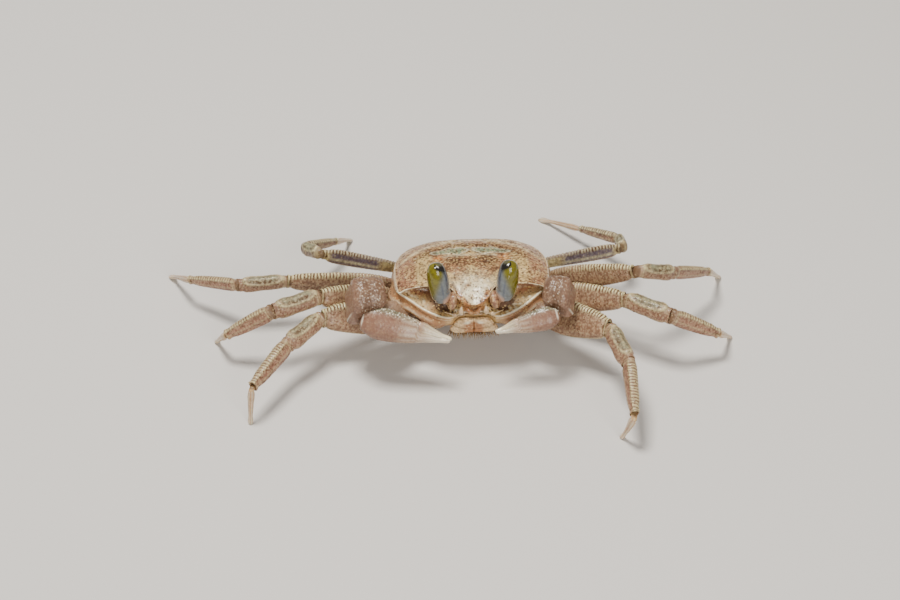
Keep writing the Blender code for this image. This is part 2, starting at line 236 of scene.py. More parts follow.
def node_rings(name: str, near: Vector, crest: Grid = UP) -> Grid:
    """The rings that a solid was lofted through, in order, in millimetres.

    Args:
        name: The CAD node.
        near: A place, in metres, by the end to start from.
        crest: The direction that the first point of each ring roughly looks to.

    Returns:
        Points as (ring, place round the ring, xyz).
    """
    shape = bmesh.new()
    shape.from_mesh(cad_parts[name].data)
    bmesh.ops.remove_doubles(shape, verts=shape.verts[:], dist=MERGE)
    shape.normal_update()
    found = [layers_from(group) for group in flat_groups(shape)[:END_CANDIDATES]]
    found = [layers for layers in found if len({len(layer) for layer in layers}) == 1]
    ordered = [[np.array([v.co[:] for v in layer]) / MM for layer in layers] for layers in found]
    shape.free()
    scattered = min(ordered, key=lambda rings: np.linalg.norm(rings[0].mean(0) * MM - near))
    centres = [points.mean(0) for points in scattered]
    rings = []
    for k, points in enumerate(scattered):
        run = centres[min(k + 1, len(centres) - 1)] - centres[max(k - 1, 0)]
        offset = points - centres[k]
        normal = np.linalg.svd(offset)[2][2]
        normal *= np.sign(normal @ run) or 1.0
        first = crest - normal * (normal @ crest)
        if np.linalg.norm(first) < 0.1:
            first = np.cross(normal, (0.0, 1.0, 0.0))
        first /= np.linalg.norm(first)
        second = np.cross(normal, first)
        order = np.argsort(np.arctan2(offset @ second, offset @ first) % tau)
        ring = points[order]
        if rings:
            before = rings[-1] - rings[-1].mean(0)
            moved = ring - ring.mean(0)
            shifts = [((np.roll(moved, -s, 0) - before) ** 2).sum() for s in range(len(ring))]
            ring = np.roll(ring, -int(np.argmin(shifts)), 0)
        rings.append(ring)
    return np.array(rings)


def turned_to_crest(rings: Grid, crest: Grid | None = None) -> Grid:
    """Rings resampled so that their first point lies exactly towards the crest.

    Args:
        rings: Points as (ring, place, xyz).
        crest: The direction of the crest; left out, it is the upper end of the depth.

    Returns:
        The same rings, turned by a part of a step.
    """
    widths = np.linalg.norm(rings - rings.mean(1, keepdims=True), axis=2).mean(1)
    widest = int(np.argmax(widths))
    offset = rings[widest] - rings[widest].mean(0)
    if crest is None:
        crest = np.linalg.svd(offset)[2][0]
        crest = crest * (np.sign(crest @ (UP + (0.0, 0.3, 0.0))) or 1.0)
    run = rings[-1].mean(0) - rings[0].mean(0)
    run /= np.linalg.norm(run)
    first = crest - run * (run @ crest)
    first /= np.linalg.norm(first)
    angle = np.arctan2(offset @ np.cross(run, first), offset @ first)
    k = int(np.argmin(np.abs(angle)))
    near, after = angle[k], angle[(k + 1) % len(angle)]
    before = angle[k - 1]
    share = -near / (after - near) if near < 0 else -(near / (near - before))
    return around(rings, (np.arange(rings.shape[1]) + k + share) % rings.shape[1])


def around(rings: Grid, places: Grid) -> Grid:
    """Rings read at fractional places round them, along a smooth closed curve.

    Args:
        rings: Points as (ring, place, xyz).
        places: Fractional indices round the ring.

    Returns:
        Points as (ring, new place, xyz).
    """
    count = rings.shape[1]
    base = np.floor(places).astype(int)
    t = (places - base)[None, :, None]
    a, b, c, d = (rings[:, (base + k) % count] for k in (-1, 0, 1, 2))
    return 0.5 * (
        2 * b + (c - a) * t + (2 * a - 5 * b + 4 * c - d) * t**2 + (3 * b - a - 3 * c + d) * t**3
    )


def along(rings: Grid, stations: Grid, wanted: Grid) -> Grid:
    """Rings read between their stations, along smooth lengthwise curves.

    Args:
        rings: Values as (ring, place, ...).
        stations: Where each ring stands.
        wanted: Where new rings are wanted.

    Returns:
        Values as (new ring, place, ...).
    """
    slopes = np.gradient(rings, stations, axis=0)
    k = np.clip(np.searchsorted(stations, wanted) - 1, 0, len(stations) - 2)
    step = stations[k + 1] - stations[k]
    shape = (-1,) + (1,) * (rings.ndim - 1)
    t = ((wanted - stations[k]) / step).reshape(shape)
    step = step.reshape(shape)
    return (
        (2 * t**3 - 3 * t**2 + 1) * rings[k]
        + (t**3 - 2 * t**2 + t) * step * slopes[k]
        + (3 * t**2 - 2 * t**3) * rings[k + 1]
        + (t**3 - t**2) * step * slopes[k + 1]
    )


def scaled(rings: Grid, factors: Grid | float) -> Grid:
    """Rings scaled about their own middles, each by its own factor or all by one."""
    middles = rings.mean(1, keepdims=True)
    return middles + (rings - middles) * np.reshape(factors, (-1, 1, 1))


@dataclass
class Skin:
    """A closed smooth surface on a grid of rings, with marks that the finishes read.

    The first and the last ring are single points, the poles.
    """

    points: Grid
    marks: dict[str, Grid] = field(default_factory=dict)

    @property
    def normals(self) -> Grid:
        """Outward directions at every point.

        Returns:
            Unit directions as (ring, place, xyz).
        """
        p = self.points
        down = np.empty_like(p)
        down[1:-1] = p[2:] - p[:-2]
        down[0], down[-1] = p[1] - p[0], p[-1] - p[-2]
        across = np.roll(p, -1, 1) - np.roll(p, 1, 1)
        out = np.cross(across, down)
        out /= np.linalg.norm(out, axis=2, keepdims=True) + 1e-12
        lean = ((p - p.mean((0, 1))) * out).sum()
        out *= 1.0 if lean > 0 else -1.0
        for pole, inner in ((0, 1), (-1, -2)):
            middle = out[inner].mean(0)
            out[pole] = middle / (np.linalg.norm(middle) + 1e-12)
        return out

    def raise_by(self, height: Grid) -> None:
        """Moves the surface outwards by a height at every point.

        Args:
            height: How far each point moves.
        """
        height = np.array(height)
        height[0], height[-1] = height[1].mean(), height[-2].mean()
        self.points = self.points + self.normals * height[..., None]

    def build(self, name: str, finish: "Finish") -> bpy.types.Object:
        """Makes the mesh object from a rolled template sphere.

        Args:
            name: The object's name.
            finish: What it is made of.

        Returns:
            The finished object.
        """
        rows, columns = self.points.shape[:2]
        shape = bmesh.new()
        bmesh.ops.create_uvsphere(shape, u_segments=columns, v_segments=rows - 1, radius=1.0)
        places = np.array([v.co[:] for v in shape.verts])
        row = np.rint((1 - np.arccos(np.clip(places[:, 2], -1, 1)) / pi) * (rows - 1)).astype(int)
        turn = np.arctan2(places[:, 1], places[:, 0])
        column = np.rint(turn / tau * columns).astype(int) % columns
        target = self.points[row, column] * MM
        for vert, place in zip(shape.verts, target):
            vert.co = place
        bmesh.ops.recalc_face_normals(shape, faces=shape.faces[:])
        if shape.calc_volume(signed=True) < 0:
            bmesh.ops.reverse_faces(shape, faces=shape.faces[:])
        made = as_object(shape, name, finish)
        for key, values in self.marks.items():
            layer = made.data.attributes.new(key, "FLOAT", "POINT")
            layer.data.foreach_set("value", values[row, column].astype(np.float32))
        return made


def blank_marks(share: Grid) -> dict[str, Grid]:
    """All the marks that a shell finish reads, set to nothing."""
    return {key: np.zeros_like(share) for key in SHELL_MARKS}


def as_object(shape: bmesh.types.BMesh, name: str, finish: "Finish") -> bpy.types.Object:
    """Turns a shape into a smooth object in the scene, and frees the shape.

    Args:
        shape: The finished shape.
        name: The object's name.
        finish: What it is made of.

    Returns:
        The object.
    """
    mesh = bpy.data.meshes.new(name)
    shape.to_mesh(mesh)
    shape.free()
    mesh.shade_smooth()
    mesh.materials.append(finish.material())
    made = bpy.data.objects.new(name, mesh)
    bpy.context.scene.collection.objects.link(made)
    return made


def closed_skin(
    rings: Grid, pitch: float, round_ends: float = 0.0
) -> tuple[Skin, Grid, Grid]:
    """A fine closed surface through rings, with its two ends drawn to points.

    Args:
        rings: Points as (ring, place, xyz).
        pitch: Spacing of the fine grid.
        round_ends: How far the ends bulge.

    Returns:
        The surface, how far along each point is from 0 to 1, and its turn from the crest.
    """
    run = rings[-1].mean(0) - rings[-2].mean(0)
    back = rings[0].mean(0) - rings[1].mean(0)
    run, back = run / np.linalg.norm(run), back / np.linalg.norm(back)
    first = np.repeat((rings[0].mean(0) + back * round_ends)[None], rings.shape[1], 0)
    last = np.repeat((rings[-1].mean(0) + run * round_ends)[None], rings.shape[1], 0)
    rings = np.concatenate([first[None], rings, last[None]])
    steps = np.linalg.norm(np.diff(rings, axis=0), axis=2).mean(1)
    stations = np.concatenate([[0.0], np.cumsum(steps)])
    wanted = np.linspace(0, stations[-1], max(12, round(stations[-1] / pitch)))
    girth = np.linalg.norm(np.roll(rings, -1, 1) - rings, axis=2).sum(1).max()
    columns = max(16, 2 * round(girth / pitch / 2))
    places = np.arange(columns) * rings.shape[1] / columns
    points = around(along(rings, stations, wanted), places)
    points[0], points[-1] = first[0], last[0]
    share = np.repeat((wanted / stations[-1])[:, None], columns, 1)
    turn = np.repeat((np.arange(columns) / columns * tau)[None], len(wanted), 0)
    turn = np.where(turn > pi, turn - tau, turn)
    return Skin(points), share, turn


def fit(made: bpy.types.Object, node: str, slot: str) -> bpy.types.Object:
    """Hangs a piece on the crab in place of a CAD node.

    Args:
        made: The finished piece.
        node: The CAD node that it stands for.
        slot: The record's material slot; not used.

    Returns:
        The same piece.
    """
    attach(made, "root")
    if node:
        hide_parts(node)
    LOG.info("%s: %d faces", made.name, len(made.data.polygons))
    return made


# --------------------------------------------------------------------------- finishes


class Tone:
    """A shader socket that takes part in Python sums."""

    def __init__(self, maker: "Maker", socket: bpy.types.NodeSocket) -> None:
        """Keeps the socket and the maker that adds nodes."""
        self.maker, self.socket = maker, socket

    def _math(self, operation: str, *values: "Tone | float") -> "Tone":
        """Adds a Math node."""
        return self.maker.node("ShaderNodeMath", {"operation": operation}, dict(enumerate(values)))

    def __add__(self, other: "Tone | float") -> "Tone":
        """Sum."""
        return self._math("ADD", self, other)

    __radd__ = __add__

    def __sub__(self, other: "Tone | float") -> "Tone":
        """Difference."""
        return self._math("SUBTRACT", self, other)

    def __rsub__(self, other: "Tone | float") -> "Tone":
        """Reflected difference."""
        return self._math("SUBTRACT", other, self)

    def __mul__(self, other: "Tone | float") -> "Tone":
        """Product."""
        return self._math("MULTIPLY", self, other)

    __rmul__ = __mul__

    def clamp(self) -> "Tone":
        """The value kept between 0 and 1.

        Returns:
            The clamped value.
        """
        return self.maker.node(
            "ShaderNodeClamp", {}, {"Value": self, "Min": 0.0, "Max": 1.0}
        )

    def step(self, low: float, high: float) -> "Tone":
        """A soft step from 0 at low to 1 at high.

        Args:
            low: Where the step starts.
            high: Where it ends.

        Returns:
            The stepped value.
        """
        settings = {"interpolation_type": "SMOOTHSTEP"}
        return self.maker.node(
            "ShaderNodeMapRange", settings, {"Value": self, "From Min": low, "From Max": high}
        )


class Maker:
    """Adds nodes to one material."""

    def __init__(self, material: bpy.types.Material) -> None:
        """Starts with the material's empty tree."""
        self.tree = material.node_tree
        self._place: Tone | None = None

    def node(self, kind: str, settings: dict, inputs: dict, output: int | str = 0) -> Tone:
        """Adds a node.

        Args:
            kind: The node's type.
            settings: Its properties, set first.
            inputs: Values or tones for its sockets, by name or number.
            output: Which output is wanted.

        Returns:
            That output as a tone.
        """
        made = self.tree.nodes.new(kind)
        for key, value in settings.items():
            setattr(made, key, value)
        for key, value in inputs.items():
            socket = made.inputs[key]
            if isinstance(value, Tone):
                self.tree.links.new(value.socket, socket)
            elif isinstance(value, tuple) and len(value) == 3 and socket.type == "RGBA":
                socket.default_value = (*value, 1.0)
            else:
                socket.default_value = value
        return Tone(self, made.outputs[output])

    @property
    def place(self) -> Tone:
        """Places on the crab, in metres.

        Returns:
            The vector, made once.
        """
        if self._place is None:
            self._place = self.node("ShaderNodeTexCoord", {}, {}, "Object")
        return self._place

    def mark(self, name: str) -> Tone:
        """A mark that the mesh carries."""
        return self.node("ShaderNodeAttribute", {"attribute_name": name}, {}, "Fac")

    def noise(self, pitch: float, detail: float = 2.0, rough: float = 0.5) -> Tone:
        """Cloudy noise whose clouds have this pitch in millimetres.

        Args:
            pitch: Size of the largest clouds.
            detail: How many finer layers are added.
            rough: How strong the finer layers are.

        Returns:
            The noise, from 0 to 1.
        """
        inputs = {
            "Vector": self.place, "Scale": 1 / (pitch * MM), "Detail": detail, "Roughness": rough,
        }
        return self.node("ShaderNodeTexNoise", {}, inputs, "Fac")

    def specks(self, pitch: float) -> Tone:
        """Distance from scattered points, 0 at each point."""
        inputs = {"Vector": self.place, "Scale": 1 / (pitch * MM)}
        return self.node("ShaderNodeTexVoronoi", {}, inputs, "Distance")

    def mix(self, factor: "Tone | float", low: "Tone | tuple", high: "Tone | tuple") -> Tone:
        """A colour between two colours."""
        settings = {"data_type": "RGBA", "clamp_factor": True}
        return self.node("ShaderNodeMix", settings, {0: factor, 6: low, 7: high}, 2)

    def relief(self, height: Tone, depth: float) -> Tone:
        """A surface direction bent by a height, whose full depth is in millimetres.

        Args:
            height: The height, from 0 to 1.
            depth: What a height of 1 stands for.

        Returns:
            The bent normal.
        """
        return self.node(
            "ShaderNodeBump", {}, {"Height": height, "Distance": depth * MM, "Strength": 1.0}
        )


@dataclass(frozen=True)
class Pigment:
    """A colour that a mark of the mesh lays over what is below it."""

    mark: str
    colour: Colour
    strength: float = 1.0


SHELL_PIGMENTS = (
    Pigment("tan", (0.36, 0.175, 0.075)),
    Pigment("green", (0.21, 0.32, 0.20)),
    Pigment("pink", (0.37, 0.155, 0.105), 0.85),
    Pigment("violet", (0.11, 0.09, 0.145)),
    Pigment("orange", (0.55, 0.17, 0.03)),
)
EYE_PIGMENTS = (
    Pigment("stripe", (0.035, 0.045, 0.09), 0.8),
    Pigment("stalk", (0.42, 0.25, 0.165)),
    Pigment("dark", (0.012, 0.010, 0.008)),
    # The glint is a painted highlight: a small white spot on the eye's dark patch.
    Pigment("glint", (0.85, 0.85, 0.80)),
)


def laid(maker: Maker, colour: Tone, pigments: tuple[Pigment, ...]) -> Tone:
    """A colour with pigments laid over it, the first one lowest.

    Args:
        maker: Adds the nodes.
        colour: The colour below.
        pigments: What lies over it.

    Returns:
        The colour with all of them.
    """
    for pigment in pigments:
        share = maker.mark(pigment.mark).clamp()
        if pigment.strength != 1.0:
            share = share * pigment.strength
        colour = maker.mix(share, colour, pigment.colour)
    return colour


@dataclass(frozen=True)
class Finish:
    """A plain glossy finish of one colour, and the ground of the patterned ones."""

    name: str
    ground: Colour
    roughness: float = 0.35
    coat: float = 0.6
    glow: float = 0.12  # how much light passes under the surface

    def material(self) -> bpy.types.Material:
        """The finished material, made once.

        Returns:
            The material.
        """
        found = bpy.data.materials.get(self.name)
        if found:
            return found
        made = bpy.data.materials.new(self.name)
        made.use_nodes = True
        shader = made.node_tree.nodes["Principled BSDF"]
        settings = {
            "Base Color": (*self.ground, 1.0),
            "Roughness": self.roughness,
            "Coat Weight": self.coat,
            "Coat Roughness": 0.12,
            "Specular IOR Level": 0.32,
            "Subsurface Weight": self.glow,
            "Subsurface Radius": (1.0, 0.55, 0.35),
            "Subsurface Scale": 0.5 * MM,
        }
        for socket, value in settings.items():
            shader.inputs[socket].default_value = value
        for socket, tone in self.tones(Maker(made)).items():
            made.node_tree.links.new(tone.socket, shader.inputs[socket])
        return made

    def tones(self, maker: Maker) -> dict[str, Tone]:
        """What varies over the surface, by shader socket."""
        return {}


@dataclass(frozen=True)
class ShellFinish(Finish):
    """Mottled crab shell: ground, cream pigment, dark pigment with painted shade, pale marks with
    painted light, and fine granules.
    """

    cream: Colour = (0.68, 0.48, 0.20)
    dark: Colour = (0.085, 0.036, 0.014)
    pale: Colour = (0.92, 0.84, 0.60)
    second: Colour = (0.36, 0.18, 0.08)
    net: float = 0.6  # how strong the pale granules are
    net_pitch: float = 0.42
    speck: float = 0.75  # how strong the dark specks are
    speck_pitch: float = 0.56
    relief: float = 0.030  # how far the granules stand out

    def tones(self, maker: Maker) -> dict[str, Tone]:
        """Colour by cloudy mottling, then the marks, then granules and specks.

        Args:
            maker: Adds the nodes.

        Returns:
            What varies, by shader socket.
        """
        broad, fine = maker.noise(1.8, 3.0), maker.noise(0.42, 2.0, 0.6)
        colour = maker.mix(broad.step(0.40, 0.60), self.ground, self.second)
        colour = maker.mix(fine.step(0.52, 0.72) * 0.5, colour, self.cream)
        colour = laid(maker, colour, SHELL_PIGMENTS)
        cream = maker.mark("cream") * (0.45 + fine * 1.1)
        colour = maker.mix(cream.clamp(), colour, self.cream)
        # The dark mark: dark pigment, and painted shade where the pieces lay it.
        dark = maker.mark("dark").clamp()
        colour = maker.mix(dark, colour, self.dark)
        patchy = maker.noise(1.6, 2.0).step(0.35, 0.65)
        granules = 1 - maker.specks(self.net_pitch).step(0.20, 0.40)
        colour = maker.mix(granules * (0.45 + patchy * 0.55) * self.net, colour, self.cream)
        colour = maker.mix(maker.mark("pale").clamp(), colour, self.pale)
        dots = 1 - maker.specks(self.speck_pitch).step(0.16, 0.34)
        gaps = maker.noise(1.3).step(0.38, 0.56)
        colour = maker.mix(dots * gaps * self.speck, colour, self.dark)
        rough = 0.17 + maker.noise(1.1, 2.0) * 0.36
        height = granules * 0.6 + maker.noise(0.16, 2.0, 0.6) * 0.4
        dull = dark * 0.9
        return {
            "Base Color": colour,
            "Roughness": rough + dull * 0.3,
            "Coat Weight": (1 - dull) * self.coat,
            "Normal": maker.relief(height, self.relief),
        }


@dataclass(frozen=True)
class EyeFinish(Finish):
    """The compound eye: yellow-green outside, blue-grey inside, a dark patch near the top with a
    painted highlight on it.
    """

    green: tuple[Colour, Colour] = ((0.115, 0.095, 0.006), (0.175, 0.155, 0.010))
    grey: tuple[Colour, Colour] = ((0.12, 0.135, 0.14), (0.165, 0.185, 0.195))

    def tones(self, maker: Maker) -> dict[str, Tone]:
        """Colour by how far round and how far up a place lies.

        Args:
            maker: Adds the nodes.

        Returns:
            What varies, by shader socket.
        """
        mottled = maker.noise(0.5, 2.0, 0.6).step(0.3, 0.7)
        green, grey = (maker.mix(mottled, *shades) for shades in (self.green, self.grey))
        colour = maker.mix(maker.mark("blue").clamp(), green, grey)
        rough = self.roughness + maker.mark("up") * 0.02
        return {"Base Color": laid(maker, colour, EYE_PIGMENTS), "Roughness": rough}


CARAPACE_FINISH = ShellFinish(
    "carapace shell", (0.37, 0.165, 0.08), second=(0.25, 0.112, 0.05), net=0.8, speck=0.9,
    coat=0.5,
)
LEG_FINISH = ShellFinish(
    "leg shell", (0.295, 0.172, 0.107), second=(0.235, 0.135, 0.088), cream=(0.50, 0.37, 0.21),
    pale=(0.72, 0.64, 0.34), speck=0.8, speck_pitch=0.38, net_pitch=0.36, coat=0.2,
)
REAR_LEG_FINISH = ShellFinish(
    "rear leg shell", (0.24, 0.16, 0.10), second=(0.17, 0.12, 0.09), cream=(0.62, 0.50, 0.24),
    pale=(0.80, 0.72, 0.42), speck=0.5, net=0.35, coat=0.25,
)
CLAW_FINISH = ShellFinish(
    "claw shell", (0.205, 0.120, 0.078), second=(0.168, 0.099, 0.067), cream=(0.38, 0.25, 0.15),
    pale=(0.88, 0.82, 0.66), speck=0.35, net=0.45, coat=0.35,
)
TOE_FINISH = ShellFinish(
    "horny leg tips", (0.48, 0.32, 0.18), second=(0.40, 0.23, 0.12), pale=(0.80, 0.74, 0.58),
    speck=0.2, net=0.15, glow=0.3, coat=0.3,
)
UNDERSIDE_FINISH = ShellFinish(
    "pale underside", (0.52, 0.37, 0.25), second=(0.44, 0.28, 0.18), cream=(0.70, 0.58, 0.44),
    speck=0.5, net=0.5, roughness=0.45, coat=0.2,
)
MOUTH_FINISH = ShellFinish(
    "jaw plates", (0.60, 0.36, 0.17), second=(0.52, 0.29, 0.13), cream=(0.84, 0.63, 0.35),
    speck=0.35, net=0.4, coat=0.35,
)
FINGER_FINISH = ShellFinish(
    "white claw fingers", (0.46, 0.37, 0.26), second=(0.38, 0.30, 0.21), speck=0.05, net=0.1,
    glow=0.04, coat=0.6,
)
STALK_FINISH = ShellFinish(
    "eye stalk", (0.39, 0.20, 0.125), second=(0.32, 0.155, 0.095), speck=0.4, net=0.6, glow=0.12,
    coat=0.5,
)
ANTENNULE_FINISH = ShellFinish(
    "antennules", (0.46, 0.22, 0.09), second=(0.36, 0.15, 0.055), speck=0.5, net=0.4, coat=0.5
)
FEELER_FINISH = ShellFinish(
    "feeler bases", (0.62, 0.47, 0.30), second=(0.54, 0.38, 0.22), speck=0.3, net=0.4, coat=0.5
)
HAIR_FINISH = ShellFinish(
    "jaw hairs", (0.30, 0.19, 0.09), second=(0.22, 0.13, 0.06), speck=0.0, net=0.0, coat=0.1
)

EYE_FINISH = EyeFinish("eye surface", (0.3, 0.3, 0.1), roughness=0.12, coat=0.6, glow=0.05)
FLOOR_FINISH = Finish("pale floor", (0.70, 0.68, 0.65), roughness=0.85, coat=0.0, glow=0.0)


# --------------------------------------------------------------------------- the body


SIDE_PINK = (Patch(0.84, -0.20, 0.17, 0.42, 1.6), Patch(0.74, 0.30, 0.18, 0.22, 0.9))
CREAM_BAND = (Patch(0.61, -0.28, 0.10, 0.34), Patch(0.33, -0.52, 0.10, 0.13, 0.7))
STOMACH_MARK = (Patch(0.20, -0.12, 0.16, 0.16),)
GREEN_MARKS = (Patch(0.20, 0.145, 0.17, 0.08), Patch(0.42, 0.11, 0.10, 0.05, 0.8))
ORANGE_MARKS = (Patch(0.43, -0.05, 0.08, 0.10), Patch(0.30, -0.02, 0.10, 0.04, 0.5))
SWELLINGS = (  # their weights are heights in millimetres
    Patch(0.17, -0.16, 0.14, 0.17, 0.12),
    Patch(0.70, -0.10, 0.22, 0.40, 0.05),
    Patch(0.0, 0.25, 0.15, 0.18, 0.06),
)
NECK = ((0.66, -0.48), (0.52, -0.26), (0.42, -0.08), (0.30, 0.03), (0.15, 0.06))
HEART = ((0.17, 0.06), (0.19, 0.20), (0.25, 0.34), (0.20, 0.50))
GUT = ((0.0, -0.55), (0.03, -0.30), (0.0, -0.25))
GROOVES = (Groove(NECK, 0.035, 0.18), Groove(HEART, 0.035, 0.13), Groove(GUT, 0.03, 0.07))


@dataclass
class ShellMap:
    """Where every point of the back shell lies, for its relief and its pattern."""

    points: Grid
    x: Grid  # to the crab's left, in half widths
    y: Grid  # to the back, in half widths
    from_lip: Grid  # up the surface from the socket's lower rim
    from_margin: Grid  # up the surface from the upper margin

    def __post_init__(self) -> None:
        """Works out the regions, the lines along the rims, and the noises."""
        ax = self.ax = np.abs(self.x)
        lip, margin = self.from_lip, self.from_margin
        self.top = smoothstep(-0.05, 0.15, margin)
        self.below = smoothstep(0.05, -0.25, lip)
        front = smoothstep(-0.50, -0.60, self.y) * smoothstep(0.98, 0.94, ax)
        self.socket = (1 - self.top) * (1 - self.below) * front * smoothstep(0.10, 0.2, ax)
        self.near_eye = bump(ax, 0.37, 0.11) * smoothstep(0.35, 0.9, lip)
        self.margin_line = bump(margin, 0.02, 0.09) * smoothstep(0.16, 0.27, ax)
        self.lip_line = bump(lip, 0.0, 0.10) * smoothstep(0.22, 0.34, ax) * front
        self.second_line = bump(lip, -0.42, 0.07) * bump(ax, 0.36, 0.12) * front
        self.side_line = bump(lip, -0.05, 0.08) * (1 - front)
        self.wall_line = bump(lip, -1.0, 0.07) * smoothstep(0.45, 0.65, ax)
        self.jaw_ridge = bump(lip, -0.08, 0.13) * smoothstep(0.27, 0.22, ax)
        self.jaw_groove = bump(lip, -0.40, 0.11) * smoothstep(0.27, 0.22, ax)
        self.grain, self.coarse = cells(self.points, 0.34), cells(self.points, 0.62, 7.0)
        self.cloud, self.broad = clouds(self.points, 0.9), clouds(self.points, 2.4, 3.0)

    def relief(self) -> Grid:
        """How far the rims, the regions and the granules stand out.

        Returns:
            The height of every point over the smooth shell.
        """
        ax, y, top, lip = self.ax, self.y, self.top, self.from_lip

        # The rims: a beaded line round the margin, and a stronger one below each socket.
        beads = 0.75 + 0.5 * cells(self.points, 0.3, 4.0)
        height = beads * (0.09 * self.margin_line + 0.17 * self.lip_line)
        height += 0.05 * (self.side_line + self.second_line) + 0.04 * self.wall_line
        height += 0.14 * self.jaw_ridge - 0.16 * self.jaw_groove
        height -= 0.05 * bump(lip, -0.8, 0.12) * smoothstep(0.35, 0.55, ax)
        height -= 0.07 * bump(self.from_margin, 0.34, 0.15) * top * smoothstep(0.5, 0.8, ax)

        # The regions of the back, parted by shallow grooves, then the cheeks and the snout.
        for groove in GROOVES:
            away = line_distance(ax, y, groove.path)
            height -= groove.depth * bump(away, 0.0, groove.width) * top
        height += top * (0.07 * self.broad + patched(ax, y, SWELLINGS))
        cheek = smoothstep(-0.5, -1.3, lip) * smoothstep(-3.4, -2.2, lip)
        height += 0.6 * cheek * smoothstep(0.32, 0.5, ax) * smoothstep(-0.15, -0.40, y)
        snout = smoothstep(0.26, 0.16, ax) * smoothstep(-0.50, -0.62, y) * top
        height += 0.09 * snout * (bump(ax, 0.15, 0.05) - bump(ax, 0.0, 0.05))

        # Granules: fine all over, coarser to the front and sides.
        rough = 0.45 + 0.55 * np.clip(ax * 1.1 - 0.1 - y * 0.6, 0, 1)
        height += top * rough * (0.040 * self.grain + 0.055 * self.coarse * (self.cloud > -0.1))
        height += self.socket * (0.085 * self.coarse * (1 - self.near_eye) + 0.030 * self.grain)
        return height + 0.014 * self.below * self.grain

    def pattern(self) -> dict[str, Grid]:
        """The marks of the living animal's colours, with painted shade and painted light in and
        round the eye sockets, and painted shade in the jaw groove.

        Returns:
            The strength of each mark at every point.
        """
        ax, y, top, socket, below = self.ax, self.y, self.top, self.socket, self.below
        grain, coarse, cloud, lip = self.grain, self.coarse, self.cloud, self.from_lip
        ragged = np.clip(0.75 + 0.6 * cloud, 0, 1.2)
        specks = smoothstep(0.40, 0.65, cells(self.points, 0.40, 11.0))
        pepper = smoothstep(0.45, 0.70, cells(self.points, 0.25, 19.0))
        pepper = pepper * np.clip(0.6 + cloud, 0, 1)
        # Painted shadow hugging the foot of each eye in its socket.
        painted_eye_shadow = socket * self.near_eye

        # The back: green marks before a brown band and a cream arch, and a pale rear rim.
        green = patched(ax, y, GREEN_MARKS)
        outline = bump(green, 0.40, 0.13) * (y > 0.0) * (ax < 0.6)
        stomach = patched(ax, y, STOMACH_MARK)
        middle_line = bump(self.x, 0.0, 0.045) * smoothstep(0.15, 0.0, y)
        cross_line = bump(y, 0.010, 0.030) * smoothstep(0.42, 0.3, ax)
        arch = y + 0.6 * self.x * self.x
        back_band = bump(arch, 0.31, 0.065) * smoothstep(0.85, 0.6, ax)
        back_band += 0.4 * bump(y, 0.64, 0.06) * smoothstep(0.75, 0.5, ax)
        back_rim = (smoothstep(0.68, 0.74, y) + 0.6 * bump(arch, 0.51, 0.05) * (y > 0)) * top

        # The front: white between the eyes down to the snout's tip, with a blotch on each side.
        taper = 0.28 - 0.17 * smoothstep(-0.74, -0.90, y)
        white = bump(ax, 0.0, taper) * bump(y, -0.74, 0.24)
        tip_width = 0.015 + 0.80 * (y + 0.89)
        blotches = smoothstep(0.0, 0.04, ax - tip_width) * smoothstep(0.30, 0.24, ax)
        blotches = blotches * smoothstep(-0.64, -0.74, y) * (1 - below)

        pale = 0.6 * (self.margin_line + self.side_line + self.second_line)
        pale += 1.3 * self.lip_line + 0.55 * self.wall_line + 0.5 * self.jaw_ridge
        pale += 0.45 * back_rim * ragged
        pale += 1.3 * white * top * (0.5 + 0.6 * coarse + 0.4 * cloud) * (1 - blotches)
        pale += 0.45 * outline * top + 0.35 * cross_line * top * ragged
        pale += top * 0.5 * smoothstep(0.45, 0.8, coarse) * np.clip(0.3 + cloud, 0, 1)
        pale += 0.8 * socket * smoothstep(0.25, 0.60, coarse) * smoothstep(2.0, 0.8, lip)
        # Painted light: the socket's outer and upper side made paler, under the overhanging margin.
        pale += 0.15 * socket * smoothstep(0.45, 0.7, ax)
        pale *= 1 - painted_eye_shadow
        pale *= 1 - top * np.maximum(specks, 0.8 * pepper) * np.clip(1.1 * white, 0, 1)

        cream = 1.9 * patched(ax, y, CREAM_BAND) + 0.8 * (middle_line + cross_line)
        cream = top * ragged * (cream + 0.8 * white * (1 - blotches))
        cream += 0.75 * top * grain * np.clip(0.6 + cloud, 0, 1.2) + 0.7 * back_rim
        cream += top * 0.35 * np.clip(0.5 + 1.1 * self.broad, 0, 1)
        cream += top * 0.35 * np.clip(cloud - 0.1, 0, 1)
        cream *= 1 - 0.7 * np.clip(green, 0, 1) * top
        cream += 0.7 * socket * smoothstep(0.62, 0.2, ax) * smoothstep(1.9, 0.6, lip)
        cream += 0.6 * below * smoothstep(0.45, 0.25, ax)
        # Cream over the socket floor, with painted light on its outer side under the margin.
        cream += socket * (0.30 + 0.4 * coarse + 0.45 * smoothstep(0.50, 0.64, ax))

        # Painted shade: a dark band on the socket floor round and below each eye, darkest in the
        # painted shadow at its foot; and painted shade in the jaw groove.
        dark = 0.9 * socket * smoothstep(0.20, 0.30, ax) * smoothstep(0.60, 0.46, ax)
        dark = dark * smoothstep(0.8, 1.6, lip) + 0.95 * self.jaw_groove + 0.9 * painted_eye_shadow
        dark += 0.35 * socket * np.clip(cloud * 1.4 - 0.1, 0, 1) * smoothstep(0.3, 0.7, lip)
        dark += 0.8 * socket * np.maximum(specks, 0.7 * pepper)
        dark += 0.65 * top * (stomach + back_band) * ragged
        dark += 0.80 * top * smoothstep(0.25, 0.0, grain) * np.clip(0.7 - 0.6 * cloud, 0, 1)
        dark += top * specks * (0.50 * np.clip(0.6 + cloud, 0, 1) + 0.30)
        dark += (0.25 * white * top + 0.7 * blotches) * specks
        dark += top * pepper * (0.55 * white + 0.30 * np.clip(0.5 - cloud, 0, 1))
        dark *= 1 - 0.9 * np.clip(self.lip_line + self.margin_line, 0, 1)

